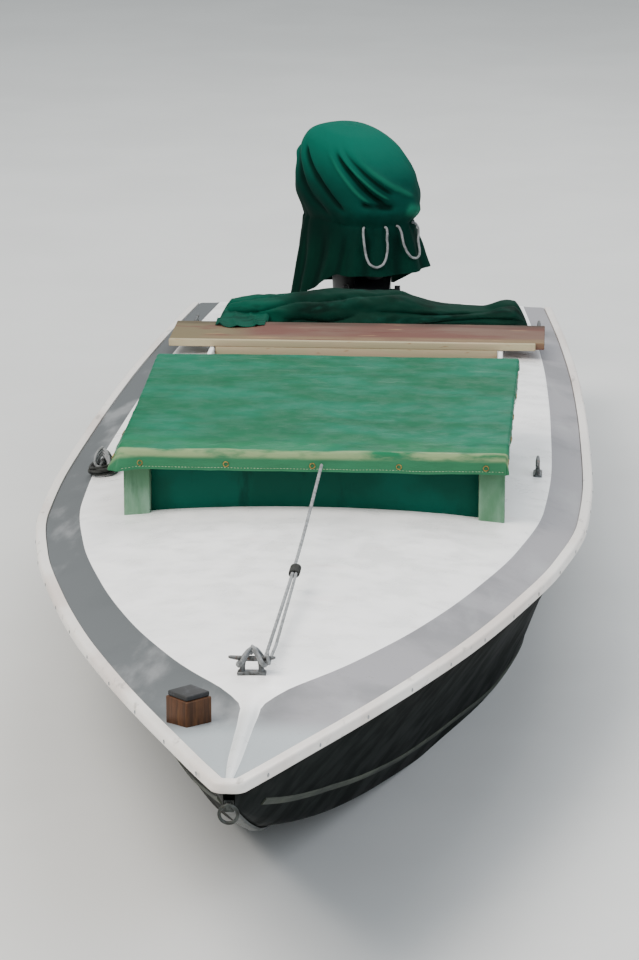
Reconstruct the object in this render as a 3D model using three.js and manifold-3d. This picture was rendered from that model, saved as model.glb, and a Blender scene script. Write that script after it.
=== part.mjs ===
import * as THREE from 'three';
import { mergeVertices } from 'three/addons/utils/BufferGeometryUtils.js';
import Module from 'manifold-3d';

// Small open launch, 5.85 m, with an outboard motor under a fabric bag.
// Millimetres, +Z up, bow towards -Y, port side +X.
// The origin is at the waterline on the centreline, half way along the hull.

const wasm = await Module();
wasm.setup();

// Fit between pieces that touch.
const FIT = 0.3;

// Hull lines: each row is a station, half breadths to port.
const STATIONS = [
  { y: -2925, sheerX: 14, sheerZ: 645, chineX: 12, chineZ: 600, keelZ: 592 },
  { y: -2800, sheerX: 66, sheerZ: 638, chineX: 16, chineZ: 545, keelZ: 535 },
  { y: -2620, sheerX: 135, sheerZ: 626, chineX: 22, chineZ: 462, keelZ: 452 },
  { y: -2440, sheerX: 203, sheerZ: 613, chineX: 34, chineZ: 385, keelZ: 374 },
  { y: -2250, sheerX: 274, sheerZ: 601, chineX: 52, chineZ: 310, keelZ: 297 },
  { y: -2000, sheerX: 362, sheerZ: 585, chineX: 92, chineZ: 226, keelZ: 211 },
  { y: -1650, sheerX: 474, sheerZ: 562, chineX: 158, chineZ: 130, keelZ: 114 },
  { y: -1250, sheerX: 582, sheerZ: 538, chineX: 242, chineZ: 46, keelZ: 30 },
  { y: -800, sheerX: 682, sheerZ: 511, chineX: 350, chineZ: -22, keelZ: -38 },
  { y: -300, sheerX: 749, sheerZ: 484, chineX: 482, chineZ: -72, keelZ: -88 },
  { y: 250, sheerX: 766, sheerZ: 460, chineX: 568, chineZ: -100, keelZ: -118 },
  { y: 900, sheerX: 758, sheerZ: 437, chineX: 600, chineZ: -112, keelZ: -130 },
  { y: 1600, sheerX: 736, sheerZ: 415, chineX: 590, chineZ: -108, keelZ: -126 },
  { y: 2300, sheerX: 692, sheerZ: 397, chineX: 558, chineZ: -92, keelZ: -108 },
  { y: 2925, sheerX: 634, sheerZ: 386, chineX: 516, chineZ: -72, keelZ: -86 },
];
const BOW_Y = -2925;
const STERN_Y = 2925;
const TRANSOM_RAKE = Math.tan(THREE.MathUtils.degToRad(10));
const WALL = 20;
const FLOOR = 25;
const KEEL_FOOT_Z = -165;

// Cockpit, from the forward bulkhead to the aft tank.
const COCKPIT_FORE_Y = -445;
const COCKPIT_AFT_Y = 2360;
const COCKPIT_HALF = 500;

// Motor well in the aft deck, and the transom that the motor hangs on.
const WELL_FORE_Y = 2640;
const WELL_HALF = 330;
const WELL_FLOOR_Z = 150;
const TRANSOM_THICK = 42;

// Deck moulding: shoulder inset from the sheer, its rise, and the crown rise.
const DECK = [
  { y: -2925, inset: 6, rise: 12, crown: 14 },
  { y: -2800, inset: 52, rise: 16, crown: 20 },
  { y: -2620, inset: 118, rise: 18, crown: 24 },
  { y: -2440, inset: 182, rise: 20, crown: 28 },
  { y: -2330, inset: 214, rise: 26, crown: 34 },
  { y: -2250, inset: 196, rise: 42, crown: 52 },
  { y: -2150, inset: 168, rise: 46, crown: 60 },
  { y: -2000, inset: 145, rise: 46, crown: 66 },
  { y: -1650, inset: 118, rise: 46, crown: 74 },
  { y: -1250, inset: 104, rise: 46, crown: 80 },
  { y: -800, inset: 100, rise: 46, crown: 84 },
  { y: -300, inset: 98, rise: 46, crown: 84 },
  { y: 250, inset: 96, rise: 44, crown: 76 },
  { y: 900, inset: 94, rise: 40, crown: 66 },
  { y: 1600, inset: 90, rise: 34, crown: 52 },
  { y: 2300, inset: 84, rise: 26, crown: 38 },
  { y: 2925, inset: 78, rise: 18, crown: 28 },
];

// Rub rail round the sheer.
const RAIL_OUT = 28;
const RAIL_DROP = 12;
const RAIL_RISE = 16;
const DECK_EDGE_RISE = 12;

// Low box with a tarpaulin over it, over the forward cockpit, a little narrower in front
// and a little off centre to port.
const COVER_FORE_Y = -555;
const COVER_AFT_Y = 600;
const COVER_X = 18;
const COVER_FORE_HALF = 536;
const COVER_AFT_HALF = 552;
const COVER_TOP_Z = 758;
const HEM_DROP = 48;
const TARP_THICK = 4;
const BOARD_THICK = 15;
const PANEL_THICK = 14;
const POST_WIDE = 72;
const POST_DEEP = 50;
const POST_X = 492;
const POST_FORE_Y = -475;
const PANEL_AFT_Y = 585;

// Cross bench resting on the coamings.
const BENCH_FORE_Y = 1935;
const BENCH_DEPTH = 270;
const BENCH_HALF = 640;
const BENCH_THICK = 24;
const APRON_DROP = 30;
const APRON_THICK = 20;

// Outboard motor: tilt axis above the transom, steering axis behind it.
const TRANSOM_TOP_Z = 386;
const TILT_Y = 2955;
const TILT_Z = 441;
const STEER_Y = 3065;
const STEER_REST = THREE.MathUtils.degToRad(40);
const TUBE_LOW_Z = TILT_Z - 355;
const TUBE_TOP_Z = TILT_Z + 55;
const PLATE_Z = -115;
const SHAFT_Z = -290;
const PAN_Z = 545;
const PAN_HIGH = 70;
const BAG_TOP_Z = 1030;
const PROP_R = 148;

function at(table, y, key) {
  if (y <= table[0].y) return table[0][key];
  for (let i = 1; i < table.length; i++) {
    if (y <= table[i].y) {
      const a = table[i - 1];
      const b = table[i];
      return a[key] + (b[key] - a[key]) * (y - a.y) / (b.y - a.y);
    }
  }
  return table[table.length - 1][key];
}
const sheerX = (y) => at(STATIONS, y, 'sheerX');
const sheerZ = (y) => at(STATIONS, y, 'sheerZ');

function stationsBetween(table, y0, y1) {
  const inner = table.map((row) => row.y).filter((y) => y > y0 + 1 && y < y1 - 1);
  return [y0, ...inner, y1];
}

// Closed solid through rings of equal point count.
function loft(rings) {
  const count = rings[0].length;
  const points = rings.flat();
  const faces = [];
  for (let r = 0; r + 1 < rings.length; r++) {
    for (let i = 0; i < count; i++) {
      const j = (i + 1) % count;
      const a = r * count + i;
      const b = r * count + j;
      faces.push([a, b, b + count], [a, b + count, a + count]);
    }
  }
  for (const [r, flip] of [[0, true], [rings.length - 1, false]]) {
    const cap = capOf(rings[r]);
    for (const [a, b, c] of cap) {
      const base = r * count;
      faces.push(flip ? [base + a, base + c, base + b] : [base + a, base + b, base + c]);
    }
  }
  return closedGeometry(points, faces);
}

// Triangles that close a flat ring, wound the same way as the ring.
function capOf(ring) {
  const n = new THREE.Vector3();
  ring.forEach((p, i) => {
    const q = ring[(i + 1) % ring.length];
    n.x += (p[1] - q[1]) * (p[2] + q[2]);
    n.y += (p[2] - q[2]) * (p[0] + q[0]);
    n.z += (p[0] - q[0]) * (p[1] + q[1]);
  });
  const size = [Math.abs(n.x), Math.abs(n.y), Math.abs(n.z)];
  const drop = size.indexOf(Math.max(...size));
  const flat = ring.map((p) => {
    if (drop === 0) return new THREE.Vector2(p[1], p[2]);
    if (drop === 1) return new THREE.Vector2(p[2], p[0]);
    return new THREE.Vector2(p[0], p[1]);
  });
  const clockwise = THREE.ShapeUtils.area(flat) < 0;
  const order = ring.map((_, i) => i);
  if (clockwise) {
    order.reverse();
    flat.reverse();
  }
  const faces = THREE.ShapeUtils.triangulateShape(flat, []);
  return faces.map((f) => {
    const t = f.map((i) => order[i]);
    return clockwise ? [t[0], t[2], t[1]] : t;
  });
}

// Indexed geometry whose faces are turned outwards.
function closedGeometry(points, faces) {
  let volume = 0;
  const a = new THREE.Vector3();
  const b = new THREE.Vector3();
  const c = new THREE.Vector3();
  for (const f of faces) {
    a.fromArray(points[f[0]]);
    b.fromArray(points[f[1]]);
    c.fromArray(points[f[2]]);
    volume += a.dot(b.cross(c)) / 6;
  }
  const turned = volume < 0 ? faces.map((f) => [f[0], f[2], f[1]]) : faces;
  const geometry = new THREE.BufferGeometry();
  geometry.setAttribute('position', new THREE.Float32BufferAttribute(points.flat(), 3));
  geometry.setIndex(turned.flat());
  geometry.computeVertexNormals();
  return geometry;
}

function solid(geometry) {
  const bare = geometry.clone();
  bare.deleteAttribute('normal');
  bare.deleteAttribute('uv');
  const merged = mergeVertices(bare, 1e-3);
  const vertProperties = new Float32Array(merged.attributes.position.array);
  const triVerts = new Uint32Array(merged.index.array);
  return new wasm.Manifold(new wasm.Mesh({ numProp: 3, vertProperties, triVerts }));
}

function geometryOf(manifold) {
  const mesh = manifold.getMesh();
  const geometry = new THREE.BufferGeometry();
  geometry.setAttribute('position', new THREE.BufferAttribute(new Float32Array(mesh.vertProperties), 3));
  geometry.setIndex(new THREE.BufferAttribute(new Uint32Array(mesh.triVerts), 1));
  geometry.computeVertexNormals();
  return geometry;
}

const join = (...list) => geometryOf(wasm.Manifold.union(list.map(solid)));
const cut = (from, ...tools) => geometryOf(wasm.Manifold.difference([from, ...tools].map(solid)));

function block(x0, x1, y0, y1, z0, z1) {
  const geometry = new THREE.BoxGeometry(x1 - x0, y1 - y0, z1 - z0);
  geometry.translate((x0 + x1) / 2, (y0 + y1) / 2, (z0 + z1) / 2);
  return geometry;
}

// Prism with its outline in Y and Z, from x0 to x1.
const prismX = (outline, x0, x1) => loft([x0, x1].map((x) => outline.map(([y, z]) => [x, y, z])));

// Prism with its outline in X and Y, from z0 to z1.
const prismZ = (outline, z0, z1) => loft([z0, z1].map((z) => outline.map(([x, y]) => [x, y, z])));

// Cylinder along one axis: 'x', 'y' or 'z'.
function rod(axis, radius, length, x, y, z, sides = 16) {
  const geometry = new THREE.CylinderGeometry(radius, radius, length, sides);
  if (axis === 'x') geometry.rotateZ(Math.PI / 2);
  if (axis === 'z') geometry.rotateX(Math.PI / 2);
  geometry.translate(x, y, z);
  return geometry;
}

// Round rope or tube through points.
function rope(points, radius, steps, sides = 8, closed = false) {
  const path = new THREE.CatmullRomCurve3(points.map((p) => new THREE.Vector3(...p)), closed, 'centripetal');
  const outline = new THREE.Shape();
  for (let i = 0; i < sides; i++) {
    const a = (i / sides) * Math.PI * 2;
    const x = Math.cos(a) * radius;
    const y = Math.sin(a) * radius;
    if (i === 0) outline.moveTo(x, y);
    else outline.lineTo(x, y);
  }
  outline.closePath();
  return new THREE.ExtrudeGeometry(outline, { steps, extrudePath: path, curveSegments: 1 });
}

function piece(name, parent, geometry, color, roughness = 0.6, metalness = 0) {
  const material = new THREE.MeshStandardMaterial({ color, roughness, metalness });
  material.name = `${name}_finish`;
  const mesh = new THREE.Mesh(geometry, material);
  mesh.name = name;
  parent.add(mesh);
  return mesh;
}

const WHITE = '#dfe0dd';
const HULL_DARK = '#141d1c';
const GREEN = '#3f8f6b';
const PALE_GREEN = '#7fb078';
const DARK_GREEN = '#064a3e';
const TEAL = '#0a6a5a';
const GREY_METAL = '#8b8f91';
const DARK_METAL = '#2b2e30';
const ROPE_GREY = '#77797a';
const CREAM = '#cdb79d';
const FADED_RED = '#b5605f';
const WOOD_BROWN = '#6b3f22';
const PLY_BROWN = '#7c7058';
const SOLE_GREY = '#8a8474';
const RUBBER_BLACK = '#1c1d1f';
const COWL_GREY = '#3a3d40';

const group = new THREE.Group();
group.name = 'launch';

// Hull shell: a flat-bottomed flared body, solid tanks fore and aft, hollow cockpit between.
const transomY = (y, z) => (y >= STERN_Y ? y - (TRANSOM_TOP_Z - z) * TRANSOM_RAKE : y);
const hullRing = (s) => [
  [s.sheerX, s.y, s.sheerZ],
  [s.chineX, transomY(s.y, s.chineZ), s.chineZ],
  [0, transomY(s.y, s.keelZ), s.keelZ],
  [-s.chineX, transomY(s.y, s.chineZ), s.chineZ],
  [-s.sheerX, s.y, s.sheerZ],
];
const hullOuter = loft(STATIONS.map(hullRing));

const cavityFloorZ = (y) => at(STATIONS, y, 'chineZ') + FLOOR;
function cavityRing(y) {
  const topX = sheerX(y) - WALL;
  const topZ = sheerZ(y);
  const lowX = at(STATIONS, y, 'chineX') - WALL;
  const lowZ = cavityFloorZ(y);
  const over = 60;
  const overX = topX + (topX - lowX) / (topZ - lowZ) * over;
  return [[overX, y, topZ + over], [lowX, y, lowZ], [-lowX, y, lowZ], [-overX, y, topZ + over]];
}
const cavity = loft(stationsBetween(STATIONS, COCKPIT_FORE_Y, COCKPIT_AFT_Y).map(cavityRing));
const wellAftY = (z) => STERN_Y - TRANSOM_THICK - (TRANSOM_TOP_Z - z) * TRANSOM_RAKE;
const well = prismX([
  [WELL_FORE_Y, WELL_FLOOR_Z],
  [wellAftY(WELL_FLOOR_Z), WELL_FLOOR_Z],
  [wellAftY(600), 600],
  [WELL_FORE_Y, 600],
], -WELL_HALF, WELL_HALF);
piece('hull_shell', group, cut(hullOuter, cavity, well), HULL_DARK, 0.3);

// Deck moulding, made as one crowned loft and cut into its parts.
function deckProfile(y, lift = 0) {
  const edge = sheerX(y) - 1;
  const shoulder = Math.max(edge - at(DECK, y, 'inset'), 5);
  const rise = at(DECK, y, 'rise');
  const crown = at(DECK, y, 'crown');
  const base = sheerZ(y) + lift;
  const band = edge - shoulder;
  return [
    [edge, base + FIT],
    [edge, base + DECK_EDGE_RISE],
    [edge - band * 0.14, base + DECK_EDGE_RISE + 2],
    [shoulder + band * 0.16, base + rise * 0.84],
    [shoulder, base + rise],
    [shoulder * 0.6, base + rise + (crown - rise) * 0.64],
    [0, base + crown],
  ];
}
function deckRing(y, lift = 0, depth = 0) {
  const half = deckProfile(y, lift);
  half[0][1] -= depth;
  const right = half.map(([x, z]) => [x, y, z]);
  const left = half.slice(0, -1).reverse().map(([x, z]) => [-x, y, z]);
  return [...right, ...left];
}
function deckYs(y0, y1) {
  const both = [...stationsBetween(STATIONS, y0, y1), ...stationsBetween(DECK, y0, y1)];
  return [...new Set(both)].sort((a, b) => a - b);
}
const wholeDeck = loft(deckYs(BOW_Y, STERN_Y).map((y) => deckRing(y)));
const raisedDeck = loft(deckYs(BOW_Y, STERN_Y).map((y) => deckRing(y, FIT, 400)));
const far = 4000;
const foreDeckEnd = COCKPIT_FORE_Y - FIT;
piece('foredeck', group, cut(wholeDeck, block(-far, far, foreDeckEnd, far, -far, far)), WHITE, 0.35);
for (const side of [{ name: 'port', sign: 1 }, { name: 'starboard', sign: -1 }]) {
  const inner = side.sign > 0 ? [-far, COCKPIT_HALF] : [-COCKPIT_HALF, far];
  piece(`side_deck_${side.name}`, group, cut(
    wholeDeck,
    block(inner[0], inner[1], -far, far, -far, far),
    block(-far, far, -far, COCKPIT_FORE_Y, -far, far),
    block(-far, far, COCKPIT_AFT_Y, far, -far, far),
  ), WHITE, 0.35);
}
piece('aft_deck', group, cut(
  wholeDeck,
  block(-far, far, -far, COCKPIT_AFT_Y + FIT, -far, far),
  block(-WELL_HALF, WELL_HALF, WELL_FORE_Y, far, -far, far),
), WHITE, 0.35);

// Rub rails along the sheer, with a cap on the bow.
function railRing(y, sign) {
  const x0 = sheerX(y) + FIT;
  const x1 = x0 + RAIL_OUT;
  const z = sheerZ(y);
  return [
    [sign * x0, y, z - RAIL_DROP],
    [sign * (x1 - 8), y, z - RAIL_DROP],
    [sign * x1, y, z - RAIL_DROP + 10],
    [sign * x1, y, z + RAIL_RISE - 8],
    [sign * (x1 - 8), y, z + RAIL_RISE],
    [sign * x0, y, z + RAIL_RISE],
  ];
}
for (const side of [{ name: 'port', sign: 1 }, { name: 'starboard', sign: -1 }]) {
  piece(`rub_rail_${side.name}`, group,
    loft(STATIONS.map((s) => railRing(s.y, side.sign))), WHITE, 0.45);
}
const capHalf = sheerX(BOW_Y) + RAIL_OUT;
piece('bow_cap', group, prismZ([
  [-capHalf, BOW_Y - FIT],
  [-capHalf * 0.55, BOW_Y - 24],
  [0, BOW_Y - 30],
  [capHalf * 0.55, BOW_Y - 24],
  [capHalf, BOW_Y - FIT],
], sheerZ(BOW_Y) - RAIL_DROP, sheerZ(BOW_Y) + RAIL_RISE), WHITE, 0.45);

// Metal band down the stem, and the keel batten further aft with a level foot.
function underRing(y, half, lowZ) {
  const z = at(STATIONS, y, 'keelZ') - FIT;
  return [[half, y, z], [-half, y, z], [-half * 0.8, y, lowZ(z)], [half * 0.8, y, lowZ(z)]];
}
const STEM_BAND = { half: 13, thick: 7, aftY: -1150 };
const BATTEN = { half: 22, thick: 16, foreY: -900, aftY: 2650 };
const bandRings = stationsBetween(STATIONS, BOW_Y, STEM_BAND.aftY)
  .map((y) => underRing(y, STEM_BAND.half, (z) => z - STEM_BAND.thick));
piece('stem_band', group, loft(bandRings), GREY_METAL, 0.4, 0.8);
const battenRings = stationsBetween(STATIONS, BATTEN.foreY, BATTEN.aftY)
  .map((y) => underRing(y, BATTEN.half, (z) => Math.min(z - BATTEN.thick, KEEL_FOOT_Z)));
piece('keel_batten', group, loft(battenRings), HULL_DARK, 0.5);

// Floor boards on four bearers.
const SOLE_Z = 32;
const SOLE_HALF = 470;
const SOLE = { foreY: -250, aftY: 2330, boards: 5, wide: 174, gap: 17.5, thick: 18 };
const BEARER_YS = [250, 900, 1600, 2250];
const BEARER_HALF = 30;
const boards = [];
for (let i = 0; i < SOLE.boards; i++) {
  const x0 = -SOLE_HALF + i * (SOLE.wide + SOLE.gap);
  boards.push(block(x0, x0 + SOLE.wide, SOLE.foreY, SOLE.aftY, SOLE_Z - SOLE.thick, SOLE_Z));
}
for (const y of BEARER_YS) {
  const y0 = y - BEARER_HALF;
  const y1 = y + BEARER_HALF;
  const floorZ = Math.max(cavityFloorZ(y0), cavityFloorZ(y), cavityFloorZ(y1)) + FIT;
  boards.push(block(-SOLE_HALF, SOLE_HALF, y0, y1, floorZ, SOLE_Z - SOLE.thick + 1));
}
piece('floor_boards', group, join(...boards), SOLE_GREY, 0.8);

// Coamings round the cockpit edge.
const COAM_THICK = 16;
const COAM_UP = 64;
const COAM_DOWN = 70;
const coamTopZ = (y) => sheerZ(y) + COAM_UP;
for (const side of [{ name: 'port', sign: 1 }, { name: 'starboard', sign: -1 }]) {
  const x1 = side.sign * (COCKPIT_HALF - FIT);
  const x0 = side.sign * (COCKPIT_HALF - FIT - COAM_THICK);
  const rings = stationsBetween(STATIONS, PANEL_AFT_Y + 16, COCKPIT_AFT_Y - COAM_THICK - 1).map((y) => [
    [x0, y, sheerZ(y) - COAM_DOWN],
    [x1, y, sheerZ(y) - COAM_DOWN],
    [x1, y, coamTopZ(y)],
    [x0, y, coamTopZ(y)],
  ]);
  piece(`coaming_${side.name}`, group, loft(rings), WHITE, 0.4);
}
piece('coaming_aft', group, block(
  -COCKPIT_HALF + FIT, COCKPIT_HALF - FIT,
  COCKPIT_AFT_Y - COAM_THICK, COCKPIT_AFT_Y - FIT,
  sheerZ(COCKPIT_AFT_Y) - COAM_DOWN, coamTopZ(COCKPIT_AFT_Y),
), WHITE, 0.4);

// Box under the tarpaulin: corner posts, front and side panels, top board.
const BOARD_Z = COVER_TOP_Z - TARP_THICK - FIT;
const boxTopZ = BOARD_Z - BOARD_THICK - FIT;
const onDeck = (geometry) => cut(geometry, raisedDeck);
const postAft = POST_FORE_Y + POST_DEEP / 2;
for (const side of [{ name: 'port', sign: 1 }, { name: 'starboard', sign: -1 }]) {
  const x = COVER_X + side.sign * POST_X;
  piece(`cover_post_${side.name}`, group, onDeck(
    block(x - POST_WIDE / 2, x + POST_WIDE / 2, postAft - POST_DEEP, postAft, 460, boxTopZ),
  ), PALE_GREEN, 0.7);
  const a = x + side.sign * 8;
  const b = a + side.sign * PANEL_THICK;
  piece(`cover_side_panel_${side.name}`, group, onDeck(
    block(Math.min(a, b), Math.max(a, b), postAft + FIT, PANEL_AFT_Y, 420, boxTopZ),
  ), DARK_GREEN, 0.6);
}
const panelHalf = POST_X - POST_WIDE / 2 - FIT;
piece('cover_front_panel', group, onDeck(
  block(COVER_X - panelHalf, COVER_X + panelHalf, postAft - PANEL_THICK, postAft, 460, boxTopZ),
), DARK_GREEN, 0.6);
const coverOutline = (inset) => [
  [COVER_X - COVER_FORE_HALF + inset, COVER_FORE_Y + inset],
  [COVER_X + COVER_FORE_HALF - inset, COVER_FORE_Y + inset],
  [COVER_X + COVER_AFT_HALF - inset, COVER_AFT_Y - inset],
  [COVER_X - COVER_AFT_HALF + inset, COVER_AFT_Y - inset],
];
const BOARD_INSET = 6;
const coverBoard = prismZ(coverOutline(BOARD_INSET), BOARD_Z - BOARD_THICK, BOARD_Z);
piece('cover_board', group, coverBoard, PLY_BROWN, 0.8);
piece('cover_tarpaulin', group, cut(
  prismZ(coverOutline(0), COVER_TOP_Z - HEM_DROP, COVER_TOP_Z),
  prismZ(coverOutline(TARP_THICK), 0, COVER_TOP_Z - TARP_THICK),
), GREEN, 0.75);

// Cross bench: a board with a cream front edge, on the coamings.
const apronFore = BENCH_FORE_Y - APRON_THICK;
const benchZ = coamTopZ(apronFore) + FIT;
piece('bench_board', group, block(
  -BENCH_HALF, BENCH_HALF, BENCH_FORE_Y, BENCH_FORE_Y + BENCH_DEPTH, benchZ, benchZ + BENCH_THICK,
), FADED_RED, 0.8);
const apronHalf = COCKPIT_HALF - COAM_THICK - 4;
piece('bench_apron', group, join(
  block(-BENCH_HALF, BENCH_HALF - 30, apronFore, BENCH_FORE_Y - FIT, benchZ, benchZ + BENCH_THICK),
  block(-apronHalf, apronHalf, apronFore, BENCH_FORE_Y - FIT, benchZ - APRON_DROP, benchZ + 1),
), CREAM, 0.8);

// Bunched tarpaulin along the aft deck.
const bundle = [
  { x: -520, y: 2470, wide: 40, high: 20 },
  { x: -480, y: 2462, wide: 100, high: 50 },
  { x: -380, y: 2455, wide: 126, high: 66 },
  { x: -260, y: 2468, wide: 108, high: 74 },
  { x: -100, y: 2478, wide: 100, high: 90 },
  { x: 100, y: 2480, wide: 98, high: 84 },
  { x: 280, y: 2486, wide: 82, high: 40 },
  { x: 420, y: 2484, wide: 78, high: 34 },
  { x: 500, y: 2482, wide: 94, high: 56 },
  { x: 545, y: 2482, wide: 84, high: 50 },
  { x: 578, y: 2484, wide: 40, high: 20 },
];
const BUNDLE_Z = 464;
const bundleRings = bundle.map((row) => {
  const ring = [];
  for (let i = 0; i < 10; i++) {
    const a = (i / 10) * Math.PI * 2;
    ring.push([row.x, row.y + Math.cos(a) * row.wide, BUNDLE_Z + Math.sin(a) * row.high]);
  }
  return ring;
});
const bunched = cut(loft(bundleRings), block(-far, far, -far, COCKPIT_AFT_Y + 2, -far, far));

// Its loose end reaches forward over the coaming and lies on the aft edge of the bench.
const FLAP = [
  { x: -492, foreY: 2130, dip: 16 },
  { x: -440, foreY: 2098, dip: 12 },
  { x: -390, foreY: 2106, dip: 14 },
  { x: -338, foreY: 2142, dip: 11 },
];
const flapTop = benchZ + BENCH_THICK + FIT + TARP_THICK;
const flapRings = FLAP.map(({ x, foreY, dip }) => {
  const upper = [
    [foreY, flapTop], [2216, flapTop], [2245, flapTop - dip / 2],
    [2300, flapTop - dip], [2362, flapTop - 8], [2430, flapTop - 10],
  ];
  const lower = upper.map(([y, z]) => [y, z - TARP_THICK]).reverse();
  return [...upper, ...lower].map(([y, z]) => [x, y, z]);
});
piece('stern_tarpaulin', group, onDeck(join(bunched, loft(flapRings))), TEAL, 0.75);

// Horn cleats, each cut to sit on the crowned deck.
const CLEATS = [
  { name: 'bow', x: -12, y: -2190, turn: 90, bar: 110 },
  { name: 'side_starboard', x: -640, y: 90, turn: 0, bar: 120 },
  { name: 'side_port', x: 632, y: 160, turn: 0, bar: 120 },
  { name: 'quarter_starboard', x: -592, y: 2400, turn: 0, bar: 120 },
  { name: 'quarter_port', x: 618, y: 2400, turn: 0, bar: 100 },
];
function deckTopZ(x, y) {
  const half = deckProfile(y);
  for (let i = 1; i < half.length; i++) {
    if (Math.abs(x) >= half[i][0]) {
      const [xa, za] = half[i - 1];
      const [xb, zb] = half[i];
      return xa === xb ? zb : za + (zb - za) * (Math.abs(x) - xa) / (xb - xa);
    }
  }
  return half[half.length - 1][1];
}
const FOOT = { half: 13, long: 34, under: 14, top: 10 };
const STEM = { half: 8, long: 24, top: 34 };
const HORN = { half: 7, low: 30, top: 46, tipLow: 36, tipTop: 44 };
for (const row of CLEATS) {
  const z = deckTopZ(row.x, row.y);
  const tip = row.bar / 2;
  const waist = row.bar / 4;
  const parts = [
    block(-FOOT.half, FOOT.half, -FOOT.long, FOOT.long, -FOOT.under, FOOT.top),
    block(-STEM.half, STEM.half, -STEM.long, STEM.long, FOOT.top - 2, STEM.top),
    prismX([
      [-tip, HORN.tipLow], [-tip, HORN.tipTop], [-waist, HORN.top], [waist, HORN.top],
      [tip, HORN.tipTop], [tip, HORN.tipLow], [waist, HORN.low], [-waist, HORN.low],
    ], -HORN.half, HORN.half),
  ];
  const shape = join(...parts);
  shape.rotateZ(THREE.MathUtils.degToRad(row.turn));
  shape.translate(row.x, row.y, z);
  piece(`cleat_${row.name}`, group, onDeck(shape), DARK_METAL, 0.45, 0.7);
}

// Wood block along the starboard bow rail, with a black pad on top.
const BLOCK = { x: -131, y: -2470, side: 74, high: 62, pad: 12, turn: THREE.MathUtils.degToRad(45) };
const blockZ = deckTopZ(BLOCK.x, BLOCK.y);
const turnedBlock = (side, z0, z1) => {
  const shape = block(-side / 2, side / 2, -side / 2, side / 2, z0, z1);
  shape.rotateZ(BLOCK.turn);
  shape.translate(BLOCK.x, BLOCK.y, 0);
  return shape;
};
piece('bow_block', group, onDeck(turnedBlock(BLOCK.side, blockZ - 30, blockZ + BLOCK.high)), WOOD_BROWN, 0.7);
const padZ = blockZ + BLOCK.high + FIT;
piece('bow_block_pad', group, turnedBlock(BLOCK.side - 6, padZ, padZ + BLOCK.pad), RUBBER_BLACK, 0.8);

// Eye with a ring on the stem.
const EYE_Z = 604;
const ringPoints = [];
for (let i = 0; i < 12; i++) {
  const a = (i / 12) * Math.PI * 2;
  ringPoints.push([Math.sin(a) * 20, BOW_Y - 16, EYE_Z - 18 + Math.cos(a) * 20]);
}
piece('stem_eye', group, join(
  block(-10, 10, BOW_Y - 5, BOW_Y - FIT, EYE_Z - 10, EYE_Z + 9),
  block(-5, 5, BOW_Y - 20, BOW_Y - 4, EYE_Z - 7, EYE_Z + 7),
  rope(ringPoints, 4, 24, 8, true),
), GREY_METAL, 0.4, 0.9);

// Line that holds the tarpaulin down, from its hem to the port side of the bow cleat.
const LINE = { startX: 44, middleX: 35, middleY: -1350, endX: 14, sag: 4, radius: 4.5 };
const lineStartZ = COVER_TOP_Z - HEM_DROP + 12;
const bowCleat = CLEATS[0];
const lineEndZ = deckTopZ(bowCleat.x, bowCleat.y) + 22;
piece('tie_down_line', group, rope([
  [LINE.startX, COVER_FORE_Y - 5, lineStartZ],
  [LINE.middleX, LINE.middleY, (lineStartZ + lineEndZ) / 2 - LINE.sag],
  [LINE.endX, bowCleat.y + STEM.half + 2 * FIT, lineEndZ],
], LINE.radius, 8), ROPE_GREY, 0.9);

// Motor hung on the transom. The clamp stays, the swivel tilts, the head steers.
const faceY = (z) => STERN_Y - (TRANSOM_TOP_Z - z) * TRANSOM_RAKE;
const CHEEK_IN = 84;
const CHEEK_OUT = 104;
const JAW_THICK = 24;
const clampLow = TRANSOM_TOP_Z - 280;
const clampKnee = TRANSOM_TOP_Z - 150;
const screwLow = TRANSOM_TOP_Z - 110;
const cheek = [
  [TILT_Y + 28, TILT_Z + 6],
  [TILT_Y + 16, TILT_Z + 24],
  [TILT_Y - 16, TILT_Z + 26],
  [wellAftY(TRANSOM_TOP_Z) - JAW_THICK, TRANSOM_TOP_Z + 2],
  [wellAftY(screwLow) - JAW_THICK, screwLow],
  [wellAftY(screwLow) - 8, screwLow],
  [wellAftY(TRANSOM_TOP_Z) - 8, TRANSOM_TOP_Z + 2],
  [faceY(TRANSOM_TOP_Z) + 1, TRANSOM_TOP_Z + 2],
  [faceY(clampLow) + 1, clampLow],
  [faceY(clampLow) + 34, clampLow],
  [faceY(clampKnee) + 44, clampKnee],
];
const WEB_THICK = 12;
const webTop = TRANSOM_TOP_Z - 50;
const webLow = TRANSOM_TOP_Z - 260;
const clampWeb = prismX([
  [faceY(webTop) + 1, webTop],
  [faceY(webTop) + 1 + WEB_THICK, webTop],
  [faceY(webLow) + 1 + WEB_THICK, webLow],
  [faceY(webLow) + 1, webLow],
], -CHEEK_IN - 2, CHEEK_IN + 2);
piece('motor_clamp', group, join(
  prismX(cheek, CHEEK_IN, CHEEK_OUT),
  prismX(cheek, -CHEEK_OUT, -CHEEK_IN),
  clampWeb,
), DARK_METAL, 0.45, 0.6);

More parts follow.
